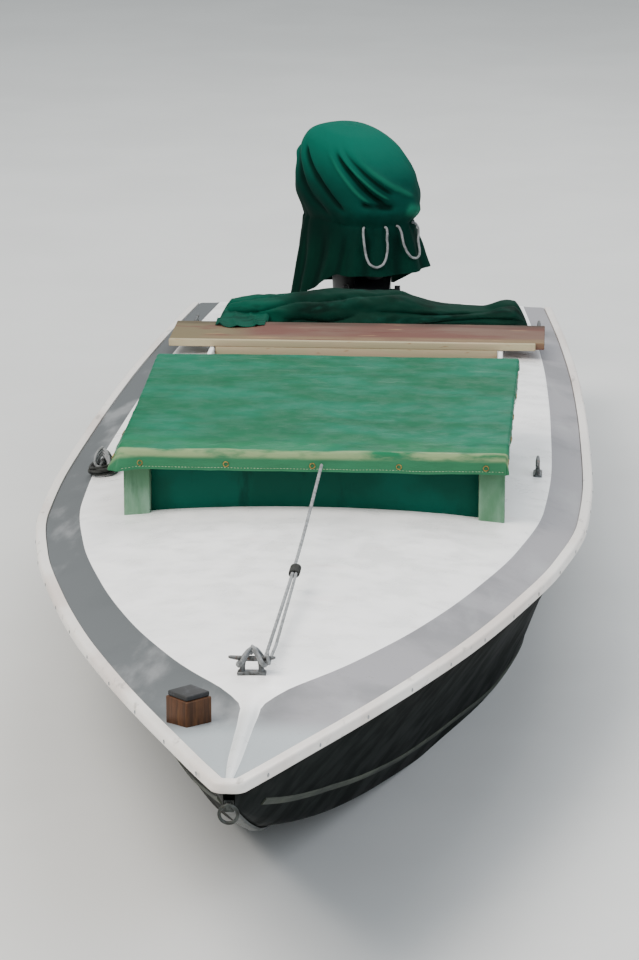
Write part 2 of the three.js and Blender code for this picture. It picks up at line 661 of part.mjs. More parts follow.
const tilt = new THREE.Group();
tilt.name = 'motor_tilt';
group.add(tilt);
const swivelArm = prismX([
  [TILT_Y - 18, TILT_Z - 14], [TILT_Y + 10, TILT_Z - 24], [STEER_Y, TILT_Z - 60],
  [STEER_Y, TILT_Z + 40], [TILT_Y + 10, TILT_Z + 20], [TILT_Y - 18, TILT_Z + 10],
], -66, 66);
const ribLow = TUBE_LOW_Z + 55;
const ribTop = TUBE_TOP_Z - 85;
piece('motor_swivel', tilt, join(
  swivelArm,
  rod('z', 40, TUBE_TOP_Z - TUBE_LOW_Z, 0, STEER_Y, (TUBE_TOP_Z + TUBE_LOW_Z) / 2, 20),
  rod('x', 15, 2 * (CHEEK_IN - FIT), 0, TILT_Y, TILT_Z, 16),
  prismX([[STEER_Y, ribLow], [STEER_Y, ribTop], [STEER_Y - 62, ribTop], [STEER_Y - 52, ribLow]], -14, 14),
), DARK_METAL, 0.45, 0.6);

const head = new THREE.Group();
head.name = 'motor_head';
head.position.set(0, STEER_Y, 0);
head.rotation.z = STEER_REST;
tilt.add(head);

// Oval ring in the head's own frame, centred behind the steering axis.
function oval(rx, ry, cy, z, count = 24, power = 2.4) {
  const ring = [];
  for (let i = 0; i < count; i++) {
    const a = (i / count) * Math.PI * 2;
    const c = Math.cos(a);
    const s = Math.sin(a);
    const x = Math.sign(c) * Math.abs(c) ** (2 / power) * rx;
    const y = Math.sign(s) * Math.abs(s) ** (2 / power) * ry;
    ring.push([x, cy + y, z]);
  }
  return ring;
}
piece('motor_pan', head, loft([
  oval(110, 175, 88, PAN_Z, 20),
  oval(142, 220, 88, PAN_Z + PAN_HIGH / 2, 20),
  oval(146, 226, 88, PAN_Z + PAN_HIGH, 20),
]), COWL_GREY, 0.5, 0.2);
const leg = loft([
  oval(34, 84, 110, PLATE_Z + 8, 16),
  oval(36, 78, 118, 30, 16),
  oval(52, 74, 128, 190, 16),
  oval(62, 78, 130, 390, 16),
  oval(80, 76, 128, PAN_Z - FIT, 16),
]);
piece('motor_leg', head, join(
  leg,
  block(-40, 40, -40, 100, TUBE_TOP_Z + FIT, PAN_Z - FIT),
  block(-34, 34, -36, 100, TUBE_LOW_Z - 49, TUBE_LOW_Z - FIT),
), DARK_METAL, 0.45, 0.3);
piece('motor_plate', head, prismZ([
  [-38, 20], [-26, -10], [26, -10], [38, 20],
  [92, 150], [96, 290], [80, 330],
  [-80, 330], [-96, 290], [-92, 150],
], PLATE_Z - 1, PLATE_Z + 8 - FIT), DARK_METAL, 0.45, 0.3);
const torpedo = new THREE.LatheGeometry([
  [0, -50], [22, -40], [40, 0], [46, 50], [46, 150], [38, 212], [32, 232], [0, 232],
].map(([r, y]) => new THREE.Vector2(r, y)), 20);
torpedo.translate(0, 0, SHAFT_Z);
const strut = loft([
  oval(8, 66, 108, SHAFT_Z - 150, 14, 2),
  oval(11, 92, 100, SHAFT_Z - 60, 14, 2),
  oval(20, 104, 96, SHAFT_Z, 14, 2),
  oval(30, 106, 104, PLATE_Z - 1 - FIT, 14, 2),
]);
piece('motor_gearcase', head, join(torpedo, strut), DARK_METAL, 0.45, 0.3);

// Propeller: hub and three blades.
const PROP_Y = 280.5;
const prop = new THREE.Group();
prop.name = 'motor_propeller_group';
prop.position.set(0, PROP_Y, SHAFT_Z);
head.add(prop);
const hub = new THREE.LatheGeometry([
  [0, -48], [33, -48], [36, -20], [34, 40], [22, 58], [0, 64],
].map(([r, y]) => new THREE.Vector2(r, y)), 18);
const blades = [];
for (let b = 0; b < 3; b++) {
  const rings = [
    { r: 26, w: 44, t: 9, pitch: 62 },
    { r: 70, w: 92, t: 7, pitch: 46 },
    { r: 112, w: 96, t: 5, pitch: 36 },
    { r: PROP_R, w: 34, t: 3, pitch: 30 },
  ].map(({ r, w, t, pitch }) => {
    const p = THREE.MathUtils.degToRad(pitch);
    const low = [[-w / 2, -t / 4], [0, -t / 2], [w / 2, -t / 4]];
    const corners = [...low, ...low.map(([u, v]) => [-u, -v])];
    return corners.map(([u, v]) => [u * Math.cos(p) - v * Math.sin(p), u * Math.sin(p) + v * Math.cos(p), r]);
  });
  const blade = loft(rings);
  blade.rotateY((b / 3) * Math.PI * 2);
  blades.push(blade);
}
piece('motor_propeller', prop, join(hub, ...blades), DARK_METAL, 0.35, 0.7);

// Motor cowl, and the fabric bag over it: a dome drawn in by a cord, then a skirt that is longer behind.
// Each row is an oval of half width rx and half length ry, tipped up by lean at its aft end.
const COWL_INSET = TARP_THICK + 2 * FIT;
const BAG = [
  { z: BAG_TOP_Z - 4, rx: 34, ry: 44, cy: 146, lean: 4 },
  { z: 1008, rx: 104, ry: 116, cy: 136, lean: 16 },
  { z: 958, rx: 160, ry: 194, cy: 116, lean: 40 },
  { z: 876, rx: 190, ry: 246, cy: 102, lean: 46 },
  { z: 780, rx: 198, ry: 262, cy: 98, lean: 24 },
  { z: 690, rx: 170, ry: 232, cy: 94, lean: 0 },
];
const bagCount = 28;
function bagRow(row, inset) {
  const ring = oval(row.rx - inset, row.ry - inset, row.cy, row.z - inset, bagCount);
  return ring.map(([x, y, z]) => [x, y, z + row.lean * (y - row.cy) / row.ry]);
}
piece('motor_cowl', head, loft([
  oval(146, 226, 88, PAN_Z + PAN_HIGH + FIT, bagCount),
  ...BAG.map((row) => bagRow(row, COWL_INSET)).reverse(),
]), COWL_GREY, 0.4, 0.1);
const NECK = BAG[BAG.length - 1];
const HEM = { rx: 240, ry: 272, cy: 80, frontZ: 518, aftZ: 400 };
const skirtLow = (a) => {
  const deep = THREE.MathUtils.clamp((Math.sin(a) + 0.42) / 0.68, 0, 1);
  return HEM.frontZ + (HEM.aftZ - HEM.frontZ) * deep;
};
const between = (a, b, t) => a + (b - a) * t;
function bagRings(inset) {
  const rings = BAG.map((row) => bagRow(row, inset));
  for (const t of [0.35, 0.7, 1]) {
    const rx = between(NECK.rx, HEM.rx, t) - inset;
    const ry = between(NECK.ry, HEM.ry, t) - inset;
    const ring = oval(rx, ry, between(NECK.cy, HEM.cy, t), 0, bagCount, 2.2);
    ring.forEach((p, i) => {
      p[2] = between(NECK.z, skirtLow((i / bagCount) * Math.PI * 2), t);
    });
    rings.push(ring);
  }
  return rings;
}
const outerRings = bagRings(0);
const innerRings = bagRings(TARP_THICK).reverse();
piece('motor_bag', head, loft([...outerRings, ...innerRings]), TEAL, 0.75);

// Two short lengths of cord hanging in loops from the neck of the bag, as routes in the head's own frame.
const BAG_CORD_RADIUS = 4.5;
const BAG_CORDS = [
  {
    name: 'fore',
    route: [
      [-116.6, -96.8, 690], [-121.9, -101.9, 690], [-128, -107.8, 686], [-133.5, -114.6, 674],
      [-134.8, -118.8, 656], [-134.1, -125.2, 619.3], [-135.3, -138.8, 586.6], [-129.7, -153.4, 563.5],
      [-111.5, -168.4, 554], [-88.5, -175.4, 563.5], [-72.3, -173, 586.6], [-60.9, -166.3, 619.3],
      [-59.5, -160.5, 656], [-56.3, -158.3, 674], [-53.1, -150.9, 686], [-51, -142.9, 690],
      [-49.2, -135.7, 690],
    ],
  },
  {
    name: 'port',
    route: [
      [0, -140.6, 690], [0, -148, 690], [0, -156.3, 686], [2, -164, 674],
      [5.2, -166.7, 656], [8.8, -171.5, 627.6], [18.6, -179.1, 598.8], [34.2, -184.1, 578.4],
      [58.8, -182.4, 570], [80.4, -173.1, 578.4], [89.7, -161.9, 598.8], [92.4, -150.7, 627.6],
      [98, -145.8, 656], [97.6, -142.1, 674], [94.1, -134.6, 686], [89.8, -127.3, 690],
      [86.1, -120.9, 690],
    ],
  },
];
for (const row of BAG_CORDS) {
  piece(`bag_cord_${row.name}`, head, rope(row.route, BAG_CORD_RADIUS, 32), ROPE_GREY, 0.9);
}

export default group;
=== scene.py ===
import math
import bpy
import bmesh
from mathutils import Matrix, Vector, noise


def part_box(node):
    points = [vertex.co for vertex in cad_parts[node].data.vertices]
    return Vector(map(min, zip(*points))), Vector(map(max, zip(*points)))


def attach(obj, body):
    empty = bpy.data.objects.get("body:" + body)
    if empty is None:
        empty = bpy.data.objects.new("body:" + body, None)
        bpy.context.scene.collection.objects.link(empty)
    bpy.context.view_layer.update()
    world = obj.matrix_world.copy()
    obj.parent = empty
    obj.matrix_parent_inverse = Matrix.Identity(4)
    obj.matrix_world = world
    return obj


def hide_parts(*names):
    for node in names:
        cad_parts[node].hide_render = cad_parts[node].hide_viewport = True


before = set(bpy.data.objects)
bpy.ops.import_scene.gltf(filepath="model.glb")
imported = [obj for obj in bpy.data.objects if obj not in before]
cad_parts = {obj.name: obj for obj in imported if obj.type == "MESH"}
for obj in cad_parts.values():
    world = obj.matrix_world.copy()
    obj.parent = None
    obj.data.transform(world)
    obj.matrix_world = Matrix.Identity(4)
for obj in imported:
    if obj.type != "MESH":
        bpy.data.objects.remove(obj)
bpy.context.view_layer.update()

# Small open launch with an outboard under a fabric bag. Metres, bow towards -Y, port side +X.
# Tables and sizes are written in millimetres and turned to metres by mm().
fit = 0.3            # gap between pieces that lie on each other, as in the solids
bothSides = (("port", 1), ("starboard", -1))


def mm(*values):
    return Vector([v * 0.001 for v in values]) if len(values) > 1 else values[0] * 0.001


def clamp(value, low=0.0, high=1.0):
    return max(low, min(high, value))


def mix(a, b, t):
    return a + (b - a) * t


def ease(t):
    t = clamp(t)
    return t * t * (3 - 2 * t)


def evenly(low, high, count):
    return [mix(low, high, i / (count - 1)) for i in range(count)]


def ringAngles(count):
    return [2 * math.pi * k / count for k in range(count)]


# Smooth noise from -1 to 1 at one place.
def drift(x, y, z):
    return noise.noise(Vector((x, y, z)))


# Monotone cubic through one column of a table.
def smoothTable(rows, key, where="y"):
    xs = [row[where] for row in rows]
    ys = [row[key] for row in rows]
    if xs[0] > xs[-1]:
        xs.reverse()
        ys.reverse()
    steps = [(ys[i + 1] - ys[i]) / (xs[i + 1] - xs[i]) for i in range(len(xs) - 1)]
    slopes = [steps[0]]
    for a, b in zip(steps, steps[1:]):
        slopes.append(0 if a * b <= 0 else 2 * a * b / (a + b))
    slopes.append(steps[-1])

    def read(x):
        x = clamp(x, xs[0], xs[-1])
        i = max(j for j in range(len(xs) - 1) if xs[j] <= x)
        h = xs[i + 1] - xs[i]
        t = (x - xs[i]) / h
        low = (2 * t ** 3 - 3 * t ** 2 + 1) * ys[i] + (t ** 3 - 2 * t ** 2 + t) * h * slopes[i]
        return low + (3 * t ** 2 - 2 * t ** 3) * ys[i + 1] + (t ** 3 - t ** 2) * h * slopes[i + 1]
    return read


def smoothTables(rows, keys, where="y"):
    return [smoothTable(rows, key, where) for key in keys]


# Colours and materials

def srgb(hexColour):
    channels = [int(hexColour.lstrip("#")[i:i + 2], 16) / 255 for i in (0, 2, 4)]
    return [c / 12.92 if c <= 0.04045 else ((c + 0.055) / 1.055) ** 2.4 for c in channels] + [1.0]


def addNode(tree, kind, settings=None, links=None):
    node = tree.nodes.new(kind)
    for key, value in (settings or {}).items():
        if isinstance(key, str) and hasattr(node, key):
            setattr(node, key, value)
        else:
            node.inputs[key].default_value = value
    for key, socket in (links or {}).items():
        tree.links.new(socket, node.inputs[key])
    return node


# A wave node of this scale repeats every 10 mm. Threads are finer than a pixel, so a weave is
# drawn ten times as coarse as its size says.
waveScale = 31.416
noiseLook = {"detail": 5.0, "grain": 0.55, "tone": (0.4, 0.6), "bump": (0.2, 0.8)}
wear = {"samples": 4, "flat": 0.995, "worn": 0.9, "cut": (0.35, 0.6)}


# A surface from a dictionary: base colour, tones laid over it, roughness, bumps and worn edges.
# Every pattern row gives its real size in mm; a "layer" row reads an attribute of the mesh instead.
# A row that names another "within" it shows only where both do.
def surface(name, look):
    material = bpy.data.materials.new(name)
    material.use_nodes = True
    tree = material.node_tree
    tree.nodes.clear()
    shader = addNode(tree, "ShaderNodeBsdfPrincipled", {
        "Base Color": srgb(look["colour"]), "Metallic": look.get("metal", 0.0), "Roughness": look["rough"],
    })
    for key, socket in (("ior", "IOR"), ("gloss", "Specular IOR Level"), ("sheen", "Sheen Weight")):
        if key in look:
            shader.inputs[socket].default_value = look[key]
    addNode(tree, "ShaderNodeOutputMaterial", links={"Surface": shader.outputs["BSDF"]})
    coord = addNode(tree, "ShaderNodeTexCoord")

    def pattern(row, cut=noiseLook["tone"]):
        kind = row.get("kind", "noise")
        space = row.get("space", look.get("space", "Object"))
        vector = addNode(tree, "ShaderNodeMapping", {"Scale": row.get("stretch", (1, 1, 1))},
                         {"Vector": coord.outputs[space]}).outputs["Vector"]
        low, high = row.get("cut", cut)
        if kind == "height":
            split = addNode(tree, "ShaderNodeSeparateXYZ", links={"Vector": vector})
            value = split.outputs[row.get("axis", "Z")]
            low, high = mm(*row["between"])
        elif kind == "waves":
            value = addNode(tree, "ShaderNodeTexWave", {
                "wave_profile": "SIN", "bands_direction": row["axis"], "Scale": waveScale / row["size"],
            }, {"Vector": vector}).outputs["Fac"]
            low, high = 0.0, 1.0
        elif kind == "layer":
            value = addNode(tree, "ShaderNodeAttribute", {"attribute_name": row["name"]}).outputs["Fac"]
            low, high = row["between"]
        else:
            value = addNode(tree, "ShaderNodeTexNoise", {
                "Scale": 1000 / row["size"], "Detail": row.get("detail", noiseLook["detail"]),
                "Roughness": noiseLook["grain"], "Distortion": row.get("twist", 0.0),
            }, {"Vector": vector}).outputs["Fac"]
        value = addNode(tree, "ShaderNodeMapRange", {
            "interpolation_type": "SMOOTHSTEP", "From Min": low, "From Max": high,
            "To Min": 0.0, "To Max": row.get("amount", 1.0),
        }, {"Value": value}).outputs["Result"]
        if "within" in row:
            value = addNode(tree, "ShaderNodeMath", {"operation": "MULTIPLY"},
                            {0: value, 1: pattern(row["within"])}).outputs[0]
        return value

    # An edge shows where the bevel node's rounded normal leaves the true one.
    def edgeMask(row):
        rounded = addNode(tree, "ShaderNodeBevel", {"samples": wear["samples"], "Radius": mm(row["size"])})
        flat = addNode(tree, "ShaderNodeNewGeometry")
        along = addNode(tree, "ShaderNodeVectorMath", {"operation": "DOT_PRODUCT"},
                        {0: rounded.outputs["Normal"], 1: flat.outputs["Normal"]})
        ranged = addNode(tree, "ShaderNodeMapRange", {
            "From Min": wear["flat"], "From Max": wear["worn"], "To Min": 0.0, "To Max": row["amount"],
        }, {"Value": along.outputs["Value"]})
        broken = pattern({"size": row["break"], "cut": wear["cut"]})
        return addNode(tree, "ShaderNodeMath", {"operation": "MULTIPLY"},
                       {0: ranged.outputs["Result"], 1: broken}).outputs[0]

    colour = None
    for row in look["tones"]:
        mask = edgeMask(row) if row.get("kind") == "edge" else pattern(row)
        blend = addNode(tree, "ShaderNodeMix", {
            "data_type": "RGBA", "clamp_factor": True, 6: srgb(look["colour"]), 7: srgb(row["colour"]),
        }, {0: mask})
        if colour:
            tree.links.new(colour, blend.inputs[6])
        colour = blend.outputs[2]
    tree.links.new(colour, shader.inputs["Base Color"])
    if "roughBy" in look:
        low, high = look["roughBy"]["between"]
        spread = addNode(tree, "ShaderNodeMapRange", {"To Min": low, "To Max": high},
                         {"Value": pattern(look["roughBy"])})
        tree.links.new(spread.outputs["Result"], shader.inputs["Roughness"])
    normal = None
    for row in look.get("bumps", []):
        bump = addNode(tree, "ShaderNodeBump", {
            "Strength": row.get("strength", 0.6), "Distance": mm(row["high"]),
        }, {"Height": pattern(row, noiseLook["bump"])})
        if normal:
            tree.links.new(normal, bump.inputs["Normal"])
        normal = bump.outputs["Normal"]
    if normal:
        tree.links.new(normal, shader.inputs["Normal"])
    return material


# Mesh helpers

def newObject(name, mesh, materials=()):
    obj = bpy.data.objects.new(name, mesh)
    bpy.context.scene.collection.objects.link(obj)
    for material in materials:
        mesh.materials.append(material)
    return obj


def bmeshObject(name, bm, materials):
    mesh = bpy.data.meshes.new(name)
    bm.to_mesh(mesh)
    bm.free()
    return newObject(name, mesh, materials)


# Gives a piece smooth faces and its body, and hides the CAD nodes that it stands for.
def place(obj, body, slotName, *nodes, angle=35):
    obj.data.polygons.foreach_set("use_smooth", [True] * len(obj.data.polygons))
    obj.data.set_sharp_from_angle(angle=math.radians(angle))
    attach(obj, body)
    if nodes:
        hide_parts(*nodes)
    return obj


# Turns a sheet over if the given one of its faces looks down.
def faceUp(obj, index=0):
    if obj.data.polygons[index].normal.z < 0:
        obj.data.flip_normals()


# Turns a piece about Z by its row and sets it down at height z.
def setDown(piece, row, z):
    turn = Matrix.Rotation(math.radians(row["turn"]), 4, "Z")
    piece.data.transform(Matrix.Translation(mm(row["x"], row["y"], z)) @ turn)
    return piece


def roundEdges(bm, edges, radius, segments):
    bmesh.ops.bevel(bm, geom=edges, offset=mm(radius), segments=segments, affect="EDGES",
                    profile=0.5, clamp_overlap=True)


# Rows of points in mm to a grid; wrap closes each row, caps close the ends.
def grid(name, rows, wrap=False, caps=False, uvs=None, materials=(), pick=None, tidy=True):
    bm = bmesh.new()
    uvLayer = bm.loops.layers.uv.new("flat") if uvs else None
    verts = [[bm.verts.new(mm(*p)) for p in row] for row in rows]
    count = len(rows[0])
    for r in range(len(rows) - 1):
        for i in range(count if wrap else count - 1):
            j = (i + 1) % count
            corners = [(r, i), (r, j), (r + 1, j), (r + 1, i)]
            face = bm.faces.new([verts[a][b] for a, b in corners])
            if pick:
                face.material_index = pick(i)
            if uvs:
                for loop, (a, b) in zip(face.loops, corners):
                    column = count if wrap and b == 0 and i == count - 1 else b
                    loop[uvLayer].uv = mm(*uvs(a, column))
    if caps:
        bm.faces.new(verts[0])
        bm.faces.new(verts[-1])
    if tidy:
        bmesh.ops.remove_doubles(bm, verts=bm.verts[:], dist=1e-6)
        bmesh.ops.recalc_face_normals(bm, faces=bm.faces[:])
    return bmeshObject(name, bm, materials)


def tube(name, rows, material, **settings):
    return grid(name, rows, wrap=True, caps=True, materials=[material], **settings)


# Prism from an outline in the two axes that remain, with its edges rounded.
def prism(name, outline, low, high, axis="z", radius=2.0, segments=2, materials=()):
    turn = {"x": lambda a, b, c: (c, a, b), "y": lambda a, b, c: (a, c, b),
            "z": lambda a, b, c: (a, b, c)}[axis]
    bm = bmesh.new()
    ends = [[bm.verts.new(mm(*turn(a, b, level))) for a, b in outline] for level in (low, high)]
    for ring in ends:
        bm.faces.new(ring)
    for i in range(len(outline)):
        j = (i + 1) % len(outline)
        bm.faces.new([ends[0][i], ends[0][j], ends[1][j], ends[1][i]])
    bmesh.ops.recalc_face_normals(bm, faces=bm.faces[:])
    if radius:
        roundEdges(bm, bm.edges[:], radius, segments)
    return bmeshObject(name, bm, materials)


def box(name, x0, x1, y0, y1, z0, z1, radius=2.0, segments=2, materials=()):
    outline = [(x0, y0), (x1, y0), (x1, y1), (x0, y1)]
    return prism(name, outline, z0, z1, "z", radius, segments, materials)


# A line with its corners rounded, each by the given radius.
def roundedLine(points, radius, steps=4):
    line = [points[0]]
    for i in range(1, len(points) - 1):
        here = Vector(points[i])
        back = Vector(points[i - 1]) - here
        on = Vector(points[i + 1]) - here
        reach = min(radius, back.length * 0.45, on.length * 0.45)
        a = here + back.normalized() * reach
        b = here + on.normalized() * reach
        for k in range(steps + 1):
            t = k / steps
            line.append(tuple(a * (1 - t) ** 2 + here * 2 * t * (1 - t) + b * t ** 2))
    line.append(points[-1])
    return line


# Evenly spaced points on a smooth curve through the given ones.
def smoothPath(points, count, between=12):
    points = [Vector(p) for p in points]
    ends = [points[0] * 2 - points[1], *points, points[-1] * 2 - points[-2]]
    fine = []
    for a, b, c, d in zip(ends, ends[1:], ends[2:], ends[3:]):
        for t in [k / between for k in range(between)]:
            fine.append(0.5 * (2 * b + (c - a) * t + (2 * a - 5 * b + 4 * c - d) * t ** 2
                               + (3 * b - a - 3 * c + d) * t ** 3))
    fine.append(points[-1])
    lengths = [0.0]
    for a, b in zip(fine, fine[1:]):
        lengths.append(lengths[-1] + (b - a).length)
    even = []
    k = 0
    for n in range(count):
        want = lengths[-1] * n / (count - 1)
        while k < len(fine) - 2 and lengths[k + 1] < want:
            k += 1
        span = lengths[k + 1] - lengths[k]
        even.append(fine[k].lerp(fine[k + 1], (want - lengths[k]) / span if span else 0))
    return even


# Each point of a path with two directions square to it that don't twist.
def squareTo(path):
    found = []
    side = None
    for i, p in enumerate(path):
        along = (path[min(i + 1, len(path) - 1)] - path[max(i - 1, 0)]).normalized()
        if side is None:
            side = along.orthogonal().normalized()
        side = (side - along * side.dot(along)).normalized()
        found.append((p, side, along.cross(side)))
    return found


# Laid rope of three strands along a path in mm. The lay is in radii, the groove a share of the radius.
laid = {"strands": 3, "lay": 6.0, "groove": 0.16}


def laidRope(name, path, radius, material, sides=12):
    rows = []
    travelled = [0.0]
    for a, b in zip(path, path[1:]):
        travelled.append(travelled[-1] + (b - a).length)
    for (p, side, other), far in zip(squareTo(path), travelled):
        ring = []
        for a in ringAngles(sides):
            turn = far / (radius * laid["lay"]) * 2 * math.pi / laid["strands"]
            strand = abs(math.cos(laid["strands"] / 2 * (a + turn)))
            r = radius * (1 - laid["groove"] + laid["groove"] * strand)
            ring.append(p + side * math.cos(a) * r + other * math.sin(a) * r)
        rows.append(ring)
    return tube(name, rows, material, uvs=lambda r, i: (i * 2 * math.pi * radius / sides, travelled[r]))


# Turns a piece's modifiers into plain mesh.
def bake(obj):
    graph = bpy.context.evaluated_depsgraph_get()
    mesh = bpy.data.meshes.new_from_object(obj.evaluated_get(graph))
    old = obj.data
    obj.modifiers.clear()
    obj.data = mesh
    if old.users == 0:
        bpy.data.meshes.remove(old)
    return obj


def carve(obj, *tools):
    for tool in tools:
        cut = obj.modifiers.new("cut", "BOOLEAN")
        cut.operation = "DIFFERENCE"
        cut.solver = "EXACT"
        cut.material_mode = "TRANSFER"
        cut.object = tool
    bake(obj)
    for tool in tools:
        bpy.data.objects.remove(tool, do_unlink=True)
    return obj


# Gives a sheet its thickness, inwards from its face.
def thicken(obj, thick):
    wall = obj.modifiers.new("thickness", "SOLIDIFY")
    wall.thickness = mm(thick)
    wall.offset = -1.0
    wall.use_even_offset = True
    return bake(obj)


def fuse(name, parts):
    bm = bmesh.new()
    materials = []
    for part in parts:
        offset = len(bm.faces)
        for material in part.data.materials:
            if material not in materials:
                materials.append(material)
        bm.from_mesh(part.data)
        bm.faces.ensure_lookup_table()
        for face in bm.faces[offset:]:
            face.material_index = materials.index(part.data.materials[face.material_index])
        old = part.data
        bpy.data.objects.remove(part, do_unlink=True)
        bpy.data.meshes.remove(old)
    return bmeshObject(name, bm, materials)


# Copy of a CAD node with its flat faces made whole and its edges rounded.
soften = {"join": 1e-5, "flat": 1, "sharp": 30, "segments": 2}


def softenedCopy(node, name, radius, material):
    bm = bmesh.new()
    bm.from_mesh(bpy.data.objects[node].data)
    bmesh.ops.remove_doubles(bm, verts=bm.verts[:], dist=soften["join"])
    bmesh.ops.dissolve_limit(bm, angle_limit=math.radians(soften["flat"]), verts=bm.verts[:],
                             edges=bm.edges[:])
    sharp = [e for e in bm.edges if len(e.link_faces) == 2
             and e.calc_face_angle(0) > math.radians(soften["sharp"])]
    roundEdges(bm, sharp, radius, soften["segments"])
    return bmeshObject(name, bm, [material])


# Small like pieces set on spots by Geometry Nodes. A spot is (place, facing, along) in mm and directions.
# buildShape adds the nodes of one piece to the tree and returns its mesh socket.
repeats = {"seed": 7, "smallest": 0.94, "largest": 1.06}


def repeatOn(name, spots, sizes, buildShape, material, slotName):
    mesh = bpy.data.meshes.new(name + "Spots")
    mesh.from_pydata([mm(*spot[0]) for spot in spots], [], [])
    for key, index in (("facing", 1), ("along", 2)):
        layer = mesh.attributes.new(key, "FLOAT_VECTOR", "POINT")
        layer.data.foreach_set("vector", [c for spot in spots for c in Vector(spot[index]).normalized()])
    holder = newObject(name, mesh)
    tree = bpy.data.node_groups.new(name + "Nodes", "GeometryNodeTree")
    tree.interface.new_socket("Geometry", in_out="INPUT", socket_type="NodeSocketGeometry")
    for label in sizes:
        tree.interface.new_socket(label, in_out="INPUT", socket_type="NodeSocketFloat")
    tree.interface.new_socket("Seed", in_out="INPUT", socket_type="NodeSocketInt")
    tree.interface.new_socket("Geometry", in_out="OUTPUT", socket_type="NodeSocketGeometry")
    given = addNode(tree, "NodeGroupInput")
    points = addNode(tree, "GeometryNodeMeshToPoints", links={"Mesh": given.outputs["Geometry"]})
    facing, along = [
        addNode(tree, "GeometryNodeInputNamedAttribute", {"data_type": "FLOAT_VECTOR", "Name": key})
        for key in ("facing", "along")]
    up = addNode(tree, "FunctionNodeAlignRotationToVector", {"axis": "Z"},
                 {"Vector": facing.outputs["Attribute"]})
    turn = addNode(tree, "FunctionNodeAlignRotationToVector", {"axis": "X", "pivot_axis": "Z"},
                   {"Rotation": up.outputs["Rotation"], "Vector": along.outputs["Attribute"]})
    vary = addNode(tree, "FunctionNodeRandomValue", {
        "data_type": "FLOAT", 2: repeats["smallest"], 3: repeats["largest"],
    }, {"Seed": given.outputs["Seed"]})
    placed = addNode(tree, "GeometryNodeInstanceOnPoints", None, {
        "Points": points.outputs["Points"], "Instance": buildShape(tree, given),
        "Rotation": turn.outputs["Rotation"], "Scale": vary.outputs[1]})
    real = addNode(tree, "GeometryNodeRealizeInstances", links={"Geometry": placed.outputs["Instances"]})
    painted = addNode(tree, "GeometryNodeSetMaterial", {"Material": material},
                      {"Geometry": real.outputs["Geometry"]})
    addNode(tree, "NodeGroupOutput", links={"Geometry": painted.outputs["Geometry"]})
    modifier = holder.modifiers.new("repeat", "NODES")
    modifier.node_group = tree
    sockets = {item.name: item.identifier for item in tree.interface.items_tree if item.in_out == "INPUT"}
    for label, value in sizes.items():
        modifier[sockets[label]] = mm(value)
    modifier[sockets["Seed"]] = repeats["seed"]
    bake(holder)
    bpy.data.node_groups.remove(tree)
    return place(holder, "boat", slotName, angle=40)


def screwHead(tree, given):
    head = addNode(tree, "GeometryNodeMeshCone", {"Vertices": 12, "Side Segments": 1}, {
        "Radius Bottom": given.outputs["Head radius"], "Radius Top": given.outputs["Crown radius"],
        "Depth": given.outputs["Head height"]})
    return head.outputs["Mesh"]


def eyeletRing(tree, given):
    middle, section = [
        addNode(tree, "GeometryNodeCurvePrimitiveCircle", {"mode": "RADIUS", "Resolution": count},
                {"Radius": given.outputs[label]})
        for label, count in (("Ring radius", 14), ("Wire radius", 6))]
    ring = addNode(tree, "GeometryNodeCurveToMesh", None,
                   {"Curve": middle.outputs["Curve"], "Profile Curve": section.outputs["Curve"]})
    return ring.outputs["Mesh"]


# A stitch is a bead of thread drawn out along the seam.
def threadStitch(tree, given):
    bead = addNode(tree, "GeometryNodeMeshUVSphere", {"Segments": 6, "Rings": 4},
                   {"Radius": given.outputs["Thread radius"]})
    long = addNode(tree, "GeometryNodeTransform", {"Scale": (3.2, 1.0, 0.8)},
                   {"Geometry": bead.outputs["Mesh"]})
    return long.outputs["Geometry"]


# Threads across and along a cloth, as two rows of bumps.
def weave(size, high, strength):
    return [{"kind": "waves", "axis": axis, "size": size, "high": high, "strength": strength}
            for axis in "XY"]


# Materials, each from what the real one is

# White gelcoat, moulded: glossy when new, here chalky with rain streaks and grey grime; greyer near the nose
# as painted shade.
whiteGelcoat = surface("whiteGelcoatMoulded", {
    "colour": "#fdfdfc", "rough": 0.34, "ior": 1.5,
    "tones": [
        {"colour": "#f4f5f4", "size": 420, "cut": (0.42, 0.62), "amount": 0.6},
        # painted shade: greyer and bluish towards the nose
        {"colour": "#c9cecf", "kind": "height", "axis": "Y", "between": (-2330, -2480), "amount": 0.7},
        {"colour": "#eadbd9", "size": 150, "stretch": (0.6, 1.5, 1), "cut": (0.6, 0.76), "amount": 0.35},
        {"colour": "#d6d8d6", "size": 50, "stretch": (1, 0.3, 1), "cut": (0.6, 0.8), "amount": 0.3},
        {"colour": "#a5a69f", "size": 7, "cut": (0.69, 0.76), "amount": 0.4, "detail": 3},
    ],
    "roughBy": {"size": 90, "between": (0.26, 0.5), "cut": (0.35, 0.65)},
    "bumps": [{"size": 260, "high": 1.0, "detail": 1, "strength": 0.3},
              {"size": 3.2, "high": 0.06, "detail": 2, "strength": 0.5}],
})
